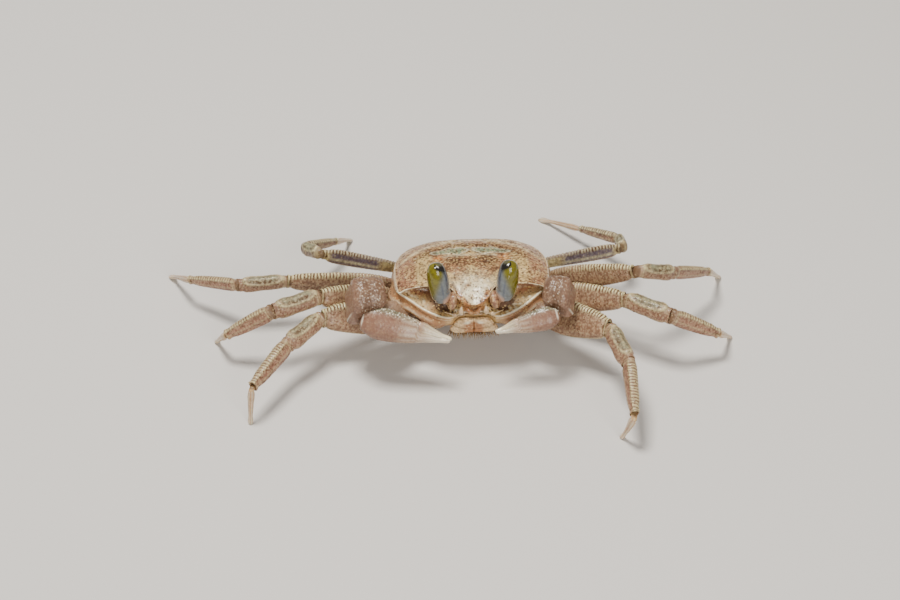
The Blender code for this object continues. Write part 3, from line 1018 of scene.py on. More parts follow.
        tan = below * smoothstep(0.15, 0.45, ax) * (0.9 - 0.5 * smoothstep(-1.0, -1.6, lip))
        tan += top * (0.9 * back_band + 0.4 * stomach) + 0.9 * blotches
        orange = 0.8 * patched(ax, y, ORANGE_MARKS) * top + 0.45 * blotches
        pink = patched(ax, y, SIDE_PINK) * top * ragged + 0.7 * socket * smoothstep(0.35, 0.6, ax)
        marks = blank_marks(top)
        marks.update(
            pale=pale, cream=cream, dark=dark, tan=tan, green=2.3 * green * top * ragged,
            orange=orange * ragged, pink=pink,
        )
        return marks


@dataclass
class Carapace:
    """The back shell: dome, margins, open eye sockets, side walls and front."""

    node: str = "carapace"
    lip_ring: int = 7  # the lower rim of the socket, counted from the belly
    margin_ring: int = 12
    widest: int = 12  # the margin's point at its widest, counted from the front
    belly_rings: int = 4
    columns: int = 480
    half: float = 10.0  # half the shell's width
    setback: float = 0.1  # from the widest place to the middle, in half widths
    crown: float = 0.04  # how far the top stands above the last ring
    belly_pitch: float = 0.5
    wall_pitch: float = 0.18
    rim_pitch: float = 0.06
    socket_pitch: float = 0.11
    dome_pitch: float = 0.12

    def __post_init__(self) -> None:
        """Reads the solid's rings and the body's own axes from them."""
        low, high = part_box(self.node)
        near = Vector(((low.x + high.x) / 2, (low.y + high.y) / 2, low.z))
        self.rings = node_rings(self.node, near, FORWARD)
        margin = self.rings[self.margin_ring]
        behind = len(margin) // 2
        across = sum(margin[i] - margin[-i] for i in range(1, behind))
        self.right_to_left = across / np.linalg.norm(across)
        back = margin[behind] - margin[0]
        back -= self.right_to_left * (back @ self.right_to_left)
        self.to_back = back / np.linalg.norm(back)
        self.upwards = np.cross(self.right_to_left, self.to_back)
        middle = (margin[self.widest] + margin[-self.widest]) / 2
        self.middle = middle + self.to_back * self.setback * self.half

    def plan(self, points: Grid) -> tuple[Grid, Grid, Grid]:
        """Places in the body's own axes, in half widths: to its left, to the back, and up."""
        offset = (points - self.middle) / self.half
        return offset @ self.right_to_left, offset @ self.to_back, offset @ self.upwards

    def place(self, x: float, y: float, z: float) -> Grid:
        """A place given in the body's axes and half widths, in millimetres of the crab."""
        turned = x * self.right_to_left + y * self.to_back + z * self.upwards
        return self.middle + turned * self.half

    def near(self, x: float, y: float, z: float) -> Vector:
        """The same place in metres, to start a reading of rings from."""
        return Vector(self.place(x, y, z)) * MM

    def skin(self) -> Skin:
        """The carved surface with its marks.

        Returns:
            The surface, ready to be built.
        """
        rings = self.rings
        poles = [np.repeat(rings[k].mean(0)[None], rings.shape[1], 0) for k in (0, -1)]
        poles[1] = poles[1] + self.upwards * self.crown
        rings = np.concatenate([poles[0][None], rings, poles[1][None]])
        steps = np.linalg.norm(np.diff(rings, axis=0), axis=2).mean(1)
        stations = np.concatenate([[0.0], np.cumsum(steps)])
        lip, margin = self.lip_ring + 1, self.margin_ring + 1
        pitches = np.full(len(steps), self.dome_pitch)
        pitches[: self.belly_rings] = self.belly_pitch
        pitches[self.belly_rings : lip] = self.wall_pitch
        pitches[lip:margin] = self.socket_pitch
        pitches[lip - 1 : lip + 1] = self.rim_pitch
        wanted = [np.array([0.0])]
        for k, step in enumerate(steps):
            count = max(1, round(step / pitches[k]))
            wanted.append(stations[k] + step * np.arange(1, count + 1) / count)
        wanted = np.concatenate(wanted)
        places = np.arange(self.columns) * rings.shape[1] / self.columns
        points = around(along(rings, stations, wanted), places)
        walk = np.linalg.norm(np.diff(points, axis=0), axis=2)
        walk = np.concatenate([np.zeros((1, self.columns)), np.cumsum(walk, 0)])
        rows = [int(np.argmin(np.abs(wanted - stations[k]))) for k in (lip, margin)]
        x, y, _ = self.plan(points)
        lay = ShellMap(points, x, y, walk - walk[rows[0]], walk - walk[rows[1]])
        made = Skin(points, lay.pattern())
        made.raise_by(lay.relief())
        return made

    def build(self) -> None:
        """Makes the shell."""
        fit(self.skin().build("back_shell", CARAPACE_FINISH), self.node, "carapace")


@dataclass
class Eye:
    """One tall eye and the stalk that carries it."""

    side: Side
    body: Carapace
    pitch: float = 0.075
    stalk_pitch: float = 0.09
    blunt: float = 1.16  # how much fuller the eye's foot is
    stalk_reach: float = 0.9  # how far the stalk goes on into the eye
    stalk_lift: float = 0.35
    stalk_swell: tuple[float, ...] = (2.1, 2.0, 1.85, 1.7, 1.75, 1.2)

    def build(self) -> None:
        """Makes the eye, then the stalk."""
        self.ball()
        self.stalk()

    def ball(self) -> None:
        """The tall faceted eye, with the stalk's sleeve on its inner foot."""
        word, sign = self.side.word, self.side.value
        stalk_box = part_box(f"eyestalk_{word}")
        inner = -sign * self.body.right_to_left
        rings = node_rings(f"eye_{word}", (stalk_box[0] + stalk_box[1]) / 2, inner)
        rings = turned_to_crest(rings, inner)
        blunt = np.interp(np.arange(len(rings)), (0, 4, len(rings)), (self.blunt, 1.0, 1.0))
        made, share, turn = closed_skin(scaled(rings, blunt), self.pitch, round_ends=0.08)
        inside, ahead = np.cos(turn), np.sin(turn * sign)
        foot = share + 0.10 * (1 - inside)
        sleeve = smoothstep(0.34, 0.24, foot) * smoothstep(0.0, 0.3, inside)
        made.raise_by(0.13 * sleeve - 0.05 * bump(foot, 0.36, 0.03))
        blue = smoothstep(-0.35, 0.45, inside + (0.52 - share) * 2.9)
        stripe = 0.8 * bump(inside, 0.86, 0.16) * smoothstep(0.22, 0.4, share) * (1 - sleeve)
        stripe += 0.7 * bump(inside, 0.30, 0.10) * bump(share, 0.42, 0.2) * (ahead > 0)
        slant = share + 0.13 * inside
        dark = bump(slant, 0.92, 0.060) * smoothstep(-0.35, 0.0, inside)
        # Painted highlight: a small white glint on the dark patch near the eye's top.
        glint = spot(inside, slant, (0.40, 0.95), (0.12, 0.020)) * (ahead > 0)
        made.marks.update(
            blue=blue * smoothstep(0.90, 0.78, share), up=share, stripe=stripe, stalk=sleeve,
            dark=1.7 * dark * (ahead > -0.3), glint=1.5 * glint,
        )
        fit(made.build(f"eye_ball_{word}", EYE_FINISH), f"eye_{word}", "eye")

    def stalk(self) -> None:
        """The granular stalk that lies across the front, below the snout."""
        word = self.side.word
        rings = node_rings(f"eyestalk_{word}", self.body.near(0.0, -0.8, -0.05))
        rings = turned_to_crest(rings)
        step = rings[-1].mean(0) - rings[-2].mean(0)
        end = rings[-1] + step / np.linalg.norm(step) * self.stalk_reach
        rings = scaled(np.concatenate([rings, end[None]]), self.stalk_swell)
        rings = rings + self.stalk_lift * self.body.upwards
        made, share, _ = closed_skin(rings, self.stalk_pitch, round_ends=0.3)
        grain = cells(made.points, 0.36)
        made.raise_by(0.04 * grain)
        made.marks = blank_marks(share)
        made.marks.update(cream=0.6 * grain, dark=0.5 * smoothstep(0.2, 0.0, grain))
        fit(made.build(f"eye_stalk_{word}", STALK_FINISH), f"eyestalk_{word}", "stalk")


# --------------------------------------------------------------------------- the limbs


class Kind(Enum):
    """The pieces of a leg and of a claw leg, from the body out."""

    HIP = "hip"
    MERUS = "merus"
    CARPUS = "carpus"
    PROPODUS = "propodus"
    DACTYL = "dactyl"
    PALM = "palm"
    FINGER = "finger"


# How much fuller the end rings of a leg's pieces are made, by ring.
JOINT_SWELLS = {
    Kind.MERUS: {-1: 1.12, -2: 1.05},
    Kind.CARPUS: {0: 1.42, 1: 1.18, 2: 1.05, -1: 1.2, -2: 1.06},
    Kind.PROPODUS: {0: 1.3, 1: 1.1, -1: 1.1},
    Kind.DACTYL: {0: 1.12, -1: 0.35, -2: 0.75, -3: 0.9},
}
# The rings of a neck: share of the gap crossed, depth in the piece before, and scale.
NECK_RINGS = ((1.0, 0.45, 0.45), (1.0, 0.15, 0.85), (0.8, 0.0, 1.0), (0.4, 0.0, 1.06))
NECK_FIT = 0.97  # a neck's width in the opening that it sits in
# Copies of an end ring that close a piece: how far ahead each lies, and its scale.
HIP_START = ((-0.3, 0.6),)
DISH = ((0.10, 1.04), (0.12, 0.97), (-0.16, 0.86), (-0.30, 0.4))
CLAW_HEELS = {
    Kind.CARPUS: ((-0.25, 0.6),),
    Kind.PALM: ((-0.46, 0.35), (-0.36, 0.66), (-0.18, 0.89)),
}
CLAW_ENDS = {Kind.MERUS: ((0.9, 1.0), (1.5, 0.6)), Kind.CARPUS: ((0.22, 0.86), (0.38, 0.5))}


@dataclass
class Unrolled:
    """The skin of a limb piece laid out along and round it, with its relief and its marks."""

    points: Grid
    ahead: Grid  # distance along the piece
    length: float
    turn: Grid  # turn from the crest, from -pi to pi
    grain: Grid
    cloud: Grid

    def __post_init__(self) -> None:
        """Starts with a plain skin."""
        self.away = np.abs(self.turn)
        self.share = self.ahead / self.length
        self.height = np.zeros_like(self.turn)
        self.marks = blank_marks(self.turn)
        self.rim, self.collar = self.belt(-0.06, 0.13), self.belt(-0.42, 0.12)

    def belt(self, beyond: float, width: float) -> Grid:
        """A soft band round the piece, at a distance beyond its far end."""
        return bump(self.ahead, self.length + beyond, width)

    def cross_lines(self) -> tuple[Grid, Grid]:
        """Slightly wavering lines across the piece: as a soft wave, and as clear stripes.

        Returns:
            The wave from 0 to 1, and the stripes.
        """
        phase = self.ahead / 0.42 + 0.16 * self.turn + 0.3 * self.cloud
        wave = 0.5 + 0.5 * np.cos(tau * phase)
        return wave, np.clip(wave * 1.7 - 0.5, 0, 1)

    def paint(self, **more: Grid) -> None:
        """Adds to the marks."""
        for key, values in more.items():
            self.marks[key] = self.marks[key] + values


@dataclass
class LimbPiece:
    """One hard piece of a leg, with a neck that sits in the dish of the piece before it."""

    node: str
    kind: Kind
    slot: str
    finish: Finish
    pitch: float = 0.1
    seed: float = 0.0
    grain_pitch: float = 0.34
    grain_shift: float = 0.0
    cloud_pitch: float = 0.8

    def read(self, near: Vector) -> None:
        """Reads the solid's rings, starting from the end by a place."""
        self.rings = turned_to_crest(node_rings(self.node, near))

    @property
    def start(self) -> Grid:
        """Middle of the near end."""
        return self.rings[0].mean(0)

    @property
    def end(self) -> Grid:
        """Middle of the far end."""
        return self.rings[-1].mean(0)

    @property
    def run(self) -> Grid:
        """Unit direction from the near end to the far end."""
        way = self.end - self.start
        return way / np.linalg.norm(way)

    def radius(self, k: int) -> float:
        """Mean radius of a ring."""
        return float(np.linalg.norm(self.rings[k] - self.rings[k].mean(0), axis=1).mean())

    def echoes(self, k: int, copies: tuple[Pair, ...]) -> Grid:
        """Copies of an end ring.

        Args:
            k: The ring, 0 or -1.
            copies: How far ahead each copy lies, and its scale.

        Returns:
            The copied rings.
        """
        ring, centre = self.rings[k], self.rings[k].mean(0)
        made = [centre + self.run * ahead + (ring - centre) * scale for ahead, scale in copies]
        return np.array(made).reshape(-1, *ring.shape)

    def with_neck(self, before: "LimbPiece | None") -> Grid:
        """Rings that reach back into the piece before.

        Args:
            before: That piece, or nothing for the first.

        Returns:
            The neck's rings, from its hidden tip outwards.
        """
        if before is None:
            return self.echoes(0, HIP_START)
        centre = self.start
        gap = before.end - centre
        size = min(1.05, NECK_FIT * before.radius(-1) / self.radius(0))
        offset = (self.rings[0] - centre) * size
        return np.array([
            centre + gap * share - before.run * deep + offset * scale
            for share, deep, scale in NECK_RINGS
        ])

    def with_dish(self) -> Grid:
        """Rings that close the far end: a rounded rim and a dish inside it."""
        pointed = self.kind in (Kind.DACTYL, Kind.FINGER, Kind.PALM)
        return self.echoes(-1, () if pointed else DISH)

    def build(self, before: "LimbPiece | None") -> None:
        """Makes the piece.

        Args:
            before: The piece that it hangs on.
        """
        self.rings = self.shaped(self.rings)
        neck, dish = self.with_neck(before), self.with_dish()
        made, share, turn = closed_skin(np.concatenate([neck, self.rings, dish]), self.pitch)
        offset = made.points - self.start
        if (offset @ FORWARD)[turn > 0].mean() < (offset @ FORWARD)[turn < 0].mean():
            turn = -turn
        skin = Unrolled(
            made.points, offset @ self.run, float(np.linalg.norm(self.end - self.start)), turn,
            cells(made.points, self.grain_pitch, self.seed + self.grain_shift),
            clouds(made.points, self.cloud_pitch, self.seed),
        )
        self.carve(skin)
        ahead, length = skin.ahead, skin.length
        in_neck = smoothstep(0.10, -0.04, ahead) * (share < 0.4) * (self.kind is not Kind.PALM)
        in_dish = smoothstep(0.86, 0.70, self.spread(made.points)) * (share > 0.6)
        in_dish = in_dish * (ahead > length - 0.5) * (len(dish) > 0)
        made.raise_by(skin.height * (1 - in_neck))
        made.marks = {key: values * (1 - in_neck) for key, values in skin.marks.items()}
        made.marks["cream"] += 0.35 * in_neck
        # Painted shade: darker inside the dish at the far end, and down the neck where it reaches
        # into the piece before.
        made.marks["dark"] += 0.6 * in_dish + 0.7 * in_neck * smoothstep(-0.12, -0.3, ahead)
        fit(made.build(f"{self.node}_shell", self.finish), self.node, self.slot)

    def spread(self, points: Grid) -> Grid:
        """Distance from the piece's axis over the far end's radius.

        Args:
            points: Places on the piece.

        Returns:
            The distance, 1 at the far end's rim.
        """
        offset = points - self.start
        off_axis = offset - (offset @ self.run)[..., None] * self.run
        return np.linalg.norm(off_axis, axis=2) / max(self.radius(-1), 0.05)

    def shaped(self, rings: Grid) -> Grid:
        """The rings with fuller joints and finer leg tips.

        Args:
            rings: The solid's rings.

        Returns:
            The rings of the finished piece.
        """
        factors = np.ones(len(rings))
        for k, factor in JOINT_SWELLS.get(self.kind, {}).items():
            factors[k] *= factor
        return scaled(rings, factors)

    def carve(self, skin: Unrolled) -> None:
        """Adds the relief and the marks of this kind of piece.

        Args:
            skin: The unrolled piece, whose relief and marks it adds to.
        """
        face = 0.30 + 0.70 * smoothstep(0.55, 0.9, skin.away)
        skin.height += 0.045 * skin.grain
        pits = 0.35 * smoothstep(0.15, 0.0, skin.grain)
        skin.paint(cream=0.6 * skin.grain * face, dark=pits * face)
        carvers = {
            Kind.MERUS: self.carve_merus,
            Kind.CARPUS: self.carve_carpus,
            Kind.PROPODUS: self.carve_propodus,
            Kind.DACTYL: self.carve_dactyl,
        }
        carvers.get(self.kind, self.carve_hip)(skin)

    def carve_hip(self, skin: Unrolled) -> None:
        """A cloudy face and a low rim."""
        skin.height += 0.04 * skin.rim
        skin.paint(cream=0.3 * skin.cloud)

    def carve_merus(self, skin: Unrolled) -> None:
        """Pale lines across the crest, and a beaded keel below.

        Args:
            skin: The unrolled piece, whose relief and marks it adds to.
        """
        share, away = skin.share, skin.away
        wave, stripes = skin.cross_lines()
        crest = smoothstep(1.15, 0.60, away) * smoothstep(0.05, 0.2, share)
        keel = smoothstep(pi - 0.32, pi - 0.12, away)
        skin.height += 0.085 * stripes * crest + 0.05 * skin.rim - 0.05 * skin.collar
        skin.height += 0.045 * keel * (0.5 + 0.5 * np.cos(tau * skin.ahead / 0.3))
        fade = 0.25 + 0.75 * smoothstep(0.15, 0.7, share)
        # Darker gaps between the raised pale stripes, strongest towards the far end: partly the
        # shell's own colour, partly painted shade between the ridges.
        gaps = 1.3 * (1 - wave) ** 2 * crest * smoothstep(0.35, 0.75, share)
        skin.paint(
            pale=stripes * crest * fade + 0.35 * skin.rim + 0.55 * keel,
            dark=gaps + skin.belt(0.08, 0.06) + 0.5 * skin.belt(-0.25, 0.06),
            cream=0.35 * skin.collar, tan=0.25 * smoothstep(1.2, 2.4, away),
        )
        if self.finish is REAR_LEG_FINISH:
            self.carve_rear_face(skin, crest)

    def carve_rear_face(self, skin: Unrolled, crest: Grid) -> None:
        """The rear leg's violet face with a granular belt along it.

        Args:
            skin: The merus, already carved.
            crest: Where its crest is.
        """
        share, turn, marks = skin.share, skin.turn, skin.marks
        outer = smoothstep(0.30, 0.42, share) * smoothstep(0.98, 0.90, share)
        belt = bump(turn, 1.75, 0.16) * outer
        side_on = smoothstep(0.5, 0.9, turn) * smoothstep(2.6, 2.2, turn)
        skin.height += 0.05 * belt
        marks["violet"] = 0.85 * outer * smoothstep(2.4, 2.0, skin.away) * (1 - 0.5 * crest)
        marks["pale"] = 0.5 * marks["pale"] + 1.2 * belt * (0.4 + 0.6 * skin.grain)
        marks["cream"] = marks["cream"] * (1 - 0.7 * outer) + 0.8 * side_on * (1 - outer)

    def carve_carpus(self, skin: Unrolled) -> None:
        """A raised pale oval round a greenish field with a streak in it.

        Args:
            skin: The unrolled piece, whose relief and marks it adds to.
        """
        grain, share = skin.grain, skin.share
        aside = np.abs(skin.turn - 0.45)
        round_off = ((aside / 0.95) ** 3 + (np.abs(share - 0.47) / 0.45) ** 3) ** (1 / 3)
        oval, inside = bump(round_off, 0.93, 0.10), smoothstep(0.85, 0.70, round_off)
        streak = bump(aside, 0.10, 0.14) * inside
        low_edge, cuff = bump(skin.turn, 2.3, 0.15), bump(skin.ahead, 0.10, 0.17)
        skin.height += 0.085 * oval * (0.7 + 0.5 * grain) + 0.05 * skin.rim + 0.05 * cuff
        skin.height += 0.03 * low_edge - 0.04 * skin.collar - 0.03 * inside
        shade = inside * np.clip(0.45 + 0.7 * skin.cloud - 0.4 * grain, 0.20, 0.60)
        pale = 0.70 * oval * (0.5 + 0.7 * grain) + 0.2 * cuff + 0.2 * low_edge
        skin.paint(
            pale=pale + 0.45 * streak * (0.3 + grain),
            dark=shade + 0.8 * bump(skin.ahead, 0.0, 0.07),
            cream=0.25 * smoothstep(0.25, 0.0, share), green=0.50 * inside + 0.25 * oval,
            pink=0.45 * smoothstep(1.2, 2.2, skin.away),
        )

    def carve_propodus(self, skin: Unrolled) -> None:
        """Two ridges along each side, and pale lines across the upper edge.

        Args:
            skin: The unrolled piece, whose relief and marks it adds to.
        """
        away, share = skin.away, skin.share
        wave, stripes = skin.cross_lines()
        ridge, second = bump(away, 0.75, 0.13), bump(away, 1.75, 0.12)
        upper = smoothstep(1.0, 0.7, away) * smoothstep(0.02, 0.12, share)
        skin.height += 0.05 * ridge + 0.045 * second + 0.035 * skin.rim + 0.05 * stripes * upper
        pale = (0.45 * ridge + 0.35 * second) * (0.4 + 0.6 * wave) + 0.6 * stripes * upper
        dark = 0.5 * (1 - wave) ** 2 * upper + np.clip(-0.1 - 0.8 * skin.cloud, 0, 0.4)
        skin.paint(
            pale=pale + 0.25 * skin.rim + 0.3 * bump(skin.ahead, 0.2, 0.12),
            dark=dark + 0.8 * bump(skin.ahead, 0.0, 0.07), pink=0.7 * smoothstep(0.9, 1.5, away),
        )

    def carve_dactyl(self, skin: Unrolled) -> None:
        """Six ribs along a smooth horny tip.

        Args:
            skin: The unrolled piece, whose relief and marks it adds to.
        """
        share = skin.share
        ribs = 0.5 + 0.5 * np.cos(6 * skin.turn)
        skin.height = 0.025 * ribs * smoothstep(1.0, 0.7, share) * smoothstep(0.0, 0.2, share)
        skin.marks["dark"] = 0.6 * bump(skin.ahead, 0.0, 0.06)
        skin.paint(pale=0.5 * ribs + 0.25 * smoothstep(0.5, 0.95, share), pink=0.3 * (1 - ribs))


@dataclass
class Leg:
    """One walking leg."""

    number: int
    side: Side
    body: Carapace
    rearmost: int = 4

    def build(self) -> None:
        """Makes the five pieces from the hip out."""
        before: LimbPiece | None = None
        near = self.body.near(0.0, 0.0, -0.5)
        seed = self.number * 3.1 + self.side.value
        rear = self.number == self.rearmost
        for kind in (Kind.HIP, Kind.MERUS, Kind.CARPUS, Kind.PROPODUS, Kind.DACTYL):
            finish, slot = (REAR_LEG_FINISH, "rear_leg") if rear else (LEG_FINISH, "leg")
            if kind is Kind.DACTYL:
                finish, slot = TOE_FINISH, "toe"
            node = f"leg{self.number}_{self.side.word}_{kind.value}"
            piece = LimbPiece(node, kind, slot, finish, seed=seed)
            piece.read(near)
            piece.build(before)
            before, near = piece, Vector(piece.end) * MM


# How much fuller each ring of a claw's pieces is made, from the near end.
CLAW_GIRTHS = {
    Kind.HIP: (1.35,),
    Kind.MERUS: (1.8, 1.9, 1.7, 1.8),
    Kind.CARPUS: (1.6, 1.2, 1.0, 1.0, 1.2, 1.6),
    Kind.PALM: (1.45, 1.05, 1.0, 1.0, 1.0, 1.0, 1.0, 1.45, 1.30, 1.05, 0.65),
    Kind.FINGER: (1.05, 1.2, 1.2, 1.05, 0.6),
}
# How far each ring is moved: a palm's up, in the ring's radii, and a wrist's along and down.
PALM_LIFTS = (0.0, 0.0, 0.0, 0.0, 0.0, 0.0, 0.0, 0.37, 0.33, 0.25, 0.90)
CARPUS_REACHES = (0.0, 0.0, 0.0, 0.1, 0.3, 0.45)


@dataclass
class ClawPiece(LimbPiece):
    """A hard piece of a claw leg."""

    pitch: float = 0.085
    grain_pitch: float = 0.30
    grain_shift: float = 5.0
    cloud_pitch: float = 0.9

    def shaped(self, rings: Grid) -> Grid:
        """The rings with a boxy carpus, and fingers that close on each other.

        Args:
            rings: The solid's rings.

        Returns:
            The rings of the finished piece.
        """
        offset = rings - rings.mean(1, keepdims=True)
        made = scaled(rings, CLAW_GIRTHS[self.kind])
        if self.kind is Kind.CARPUS:
            turn = np.arange(made.shape[1]) / made.shape[1] * tau
            corner = 1 + 0.20 * (0.5 - 0.5 * np.cos(4 * turn))
            middles = made.mean(1, keepdims=True)
            outer = np.clip(offset[..., 0] * np.sign(self.start[0]), 0, None)[..., None]
            reach = np.reshape(CARPUS_REACHES, (-1, 1, 1)) * (self.run - 0.6 * UP)
            made = middles + (made - middles) * corner[None, :, None] + (0.9 + outer) * reach
        elif self.kind is Kind.PALM:
            lift = PALM_LIFTS * np.linalg.norm(offset, axis=2).mean(1)
            made = made + lift[:, None, None] * UP
            made[0] = made[0] + self.run * 0.45
            made[1] = made[1] + self.run * 0.3
        elif self.kind is Kind.FINGER:
            made = made - 0.2 * self.radius(2) * UP
            made[0] = made[0] - self.run * 0.7
        return made

    def with_neck(self, before: "LimbPiece | None") -> Grid:
        """The wrist's or the palm's rounded heel, or the usual neck; see LimbPiece.

        Args:
            before: The piece that this one hangs on, if any.

        Returns:
            The rings before the near end.
        """
        if self.kind in CLAW_HEELS:
            return self.echoes(0, CLAW_HEELS[self.kind])
        return super().with_neck(before)

    def with_dish(self) -> Grid:
        """The wrist's and the arm's rounded end, or the usual dish; see LimbPiece.

        Returns:
            The rings after the far end.
        """
        if self.kind in CLAW_ENDS:
            return self.echoes(-1, CLAW_ENDS[self.kind])
        return super().with_dish()

    def carve(self, skin: Unrolled) -> None:
        """Adds the relief and the marks of this kind of claw piece.

        Args:
            skin: The unrolled piece, whose relief and marks it adds to.
        """
        skin.height += 0.016 * skin.grain
        skin.paint(cream=0.45 * skin.grain + 0.2 * skin.cloud)
        carvers = {
            Kind.CARPUS: self.carve_carpus,
            Kind.PALM: self.carve_palm,
            Kind.FINGER: self.carve_finger,
        }
        carvers.get(self.kind, self.carve_arm)(skin)

    def carve_arm(self, skin: Unrolled) -> None:
        """Fine granules on a creamy ground."""
        skin.height += 0.03 * skin.grain
        skin.paint(cream=0.3)

    def carve_carpus(self, skin: Unrolled) -> None:
        """A wrist with pale granules on its upper side, crowded with painted glints on its top, and
        a pale lower rim.

        Args:
            skin: The unrolled piece, whose relief and marks it adds to.
        """
        grain, away = skin.grain, skin.away
        upper, glinting_top = smoothstep(2.3, 1.2, away), smoothstep(1.1, 0.4, away)
        dense = np.clip(0.45 + 1.3 * skin.cloud, 0, 1)
        rim = skin.belt(0.05, 0.10) * smoothstep(1.3, 1.8, away)
        skin.height += 0.07 * grain * upper + 0.03 * rim
        # Pale granules on the upper side, with painted glints crowding on the top, and dark pits
        # between them there.
        granules = (0.1 + 0.8 * glinting_top) * smoothstep(0.5, 0.8, grain) * upper * dense
        skin.paint(
            pale=granules + 0.7 * rim, pink=0.25 * (1 - glinting_top),
            dark=0.35 * smoothstep(0.2, 0.0, grain) * glinting_top,
        )

    def carve_palm(self, skin: Unrolled) -> None:
        """A granular upper edge, a pale heel, and rays that fan out to a smooth finger.

        Args:
            skin: The unrolled piece, whose relief and marks it adds to.
        """
        grain, away, share = skin.grain, skin.away, skin.share
        upper = smoothstep(1.15, 0.55, away) * smoothstep(0.68, 0.55, share)
        finger = smoothstep(0.55, 0.88, share)
        heel = bump(skin.ahead, -0.16, 0.09) * smoothstep(2.4, 1.7, away)
        low_edge = bump(away, pi, 0.35) * smoothstep(0.1, 0.25, share)
        rays = 0.5 + 0.5 * np.cos(13 * skin.turn)
        fan = smoothstep(0.36, 0.5, share) * smoothstep(0.72, 0.6, share)
        skin.height += 0.09 * grain * upper + 0.035 * low_edge * (1 - finger) + 0.02 * heel
        skin.height += 0.03 * finger * bump(away, 1.5, 0.2) + 0.02 * rays * fan
        pale = 0.9 * smoothstep(0.35, 0.65, grain) * upper + 0.45 * finger + 0.8 * heel
        skin.paint(
            pale=pale + 0.25 * rays * fan + 0.35 * finger * rays,
            pink=0.3 * (1 - finger) * (1 - upper), green=0.35 * upper * (1 - finger),
            cream=0.4 * smoothstep(0.3, 0.55, share) * (1 - rays * 0.5),
            dark=0.3 * smoothstep(0.2, 0.0, grain) * upper,
        )

    def carve_finger(self, skin: Unrolled) -> None:
        """Fine rays along a smooth finger that pales to its tip.

        Args:
            skin: The unrolled piece, whose relief and marks it adds to.
        """
        share = skin.share
        rays = 0.5 + 0.5 * np.cos(skin.turn * 9)
        skin.height = 0.03 * rays * smoothstep(1.0, 0.8, share)
        skin.paint(
            pale=0.8 * share * share + 0.35 * rays * smoothstep(0.1, 0.4, share),
            pink=0.65 * smoothstep(0.45, 0.0, share),
            dark=0.25 * (1 - rays) ** 2 * smoothstep(0.8, 0.3, share),
        )


@dataclass
class Claw:
    """One folded claw leg."""

    side: Side
    body: Carapace
    finger_root: int = 6  # the ring of the palm that the free finger starts from
    wrist_away: float = 5.0  # how far behind and above the arm's end the wrist starts

    def build(self) -> None:
        """Makes the pieces from the hip to the fingers."""
        before: LimbPiece | None = None
        near = self.body.near(0.0, -0.3, -0.4)
        for kind in (Kind.HIP, Kind.MERUS, Kind.CARPUS, Kind.PALM, Kind.FINGER):
            finish, slot = CLAW_FINISH, "claw"
            if kind is Kind.CARPUS:
                near = near + Vector((self.body.to_back + UP) * self.wrist_away) * MM
            elif kind is Kind.FINGER:
                finish, slot = FINGER_FINISH, "finger"
                near = Vector(before.rings[self.finger_root].mean(0)) * MM
                before = None
            node = f"claw_{self.side.word}_{kind.value}"
            piece = ClawPiece(node, kind, slot, finish, seed=20.0 + self.side.value)
            piece.read(near)
            piece.build(before)
            before, near = piece, Vector(piece.end) * MM


# --------------------------------------------------------------------------- mouth and underside


@dataclass
class Underside:
    """The breast plate and the folded abdomen."""

    body: Carapace
    breast_pitch: float = 0.2
    tail_pitch: float = 0.12
    # Where the abdomen's rings part, as shares of its length.
    partings: tuple[float, ...] = (0.08, 0.17, 0.28, 0.39, 0.52, 0.66, 0.82)

    def build(self) -> None:
        """Makes both plates."""
        self.breast()
        self.abdomen()

    def breast(self) -> None:
        """The breast plate, with a seam between the roots of each pair of legs."""
        crest = self.body.to_back
        rings = turned_to_crest(node_rings("sternum", self.body.near(0.0, 0.0, -0.4), crest), crest)
        made, share, _ = closed_skin(rings, self.breast_pitch)
        x, y, _ = self.body.plan(made.points)
        ax = np.abs(x)
        seams = bump((y * 5.0 + ax * 0.8) % 1.0, 0.5, 0.07) * smoothstep(0.05, 0.2, ax)
        made.raise_by(-0.07 * seams * (share > 0.3) + 0.01 * cells(made.points, 0.35))
        made.marks = blank_marks(share)
        made.marks["tan"] = 0.5 * seams
        fit(made.build("breast_plate", UNDERSIDE_FINISH), "sternum", "underside")

    def abdomen(self) -> None:
        """The folded abdomen, a strip of rings with a groove between each two."""
        crest = self.body.right_to_left
        rings = turned_to_crest(node_rings("abdomen", self.body.near(0.0, 0.8, -0.1), crest), crest)
        made, share, _ = closed_skin(rings, self.tail_pitch)
        gap = np.min([np.abs(share - parting) for parting in self.partings], axis=0)
        grain = cells(made.points, 0.35)
        made.raise_by(0.12 * smoothstep(0.0, 0.025, gap) - 0.12 + 0.02 * grain)
        mottle = cells(made.points, 0.9, 3.0)
        groove = smoothstep(0.020, 0.004, gap)
        pits = smoothstep(0.25, 0.0, grain) * smoothstep(0.5, 0.0, share)
        made.marks = blank_marks(share)
        made.marks.update(
            tan=0.9 * groove + 0.6 * smoothstep(0.35, 0.75, mottle),
            cream=(0.3 + 0.5 * grain) * (1 - groove), dark=0.5 * pits + 0.6 * groove,
        )
        fit(made.build("folded_abdomen", UNDERSIDE_FINISH), "abdomen", "underside")


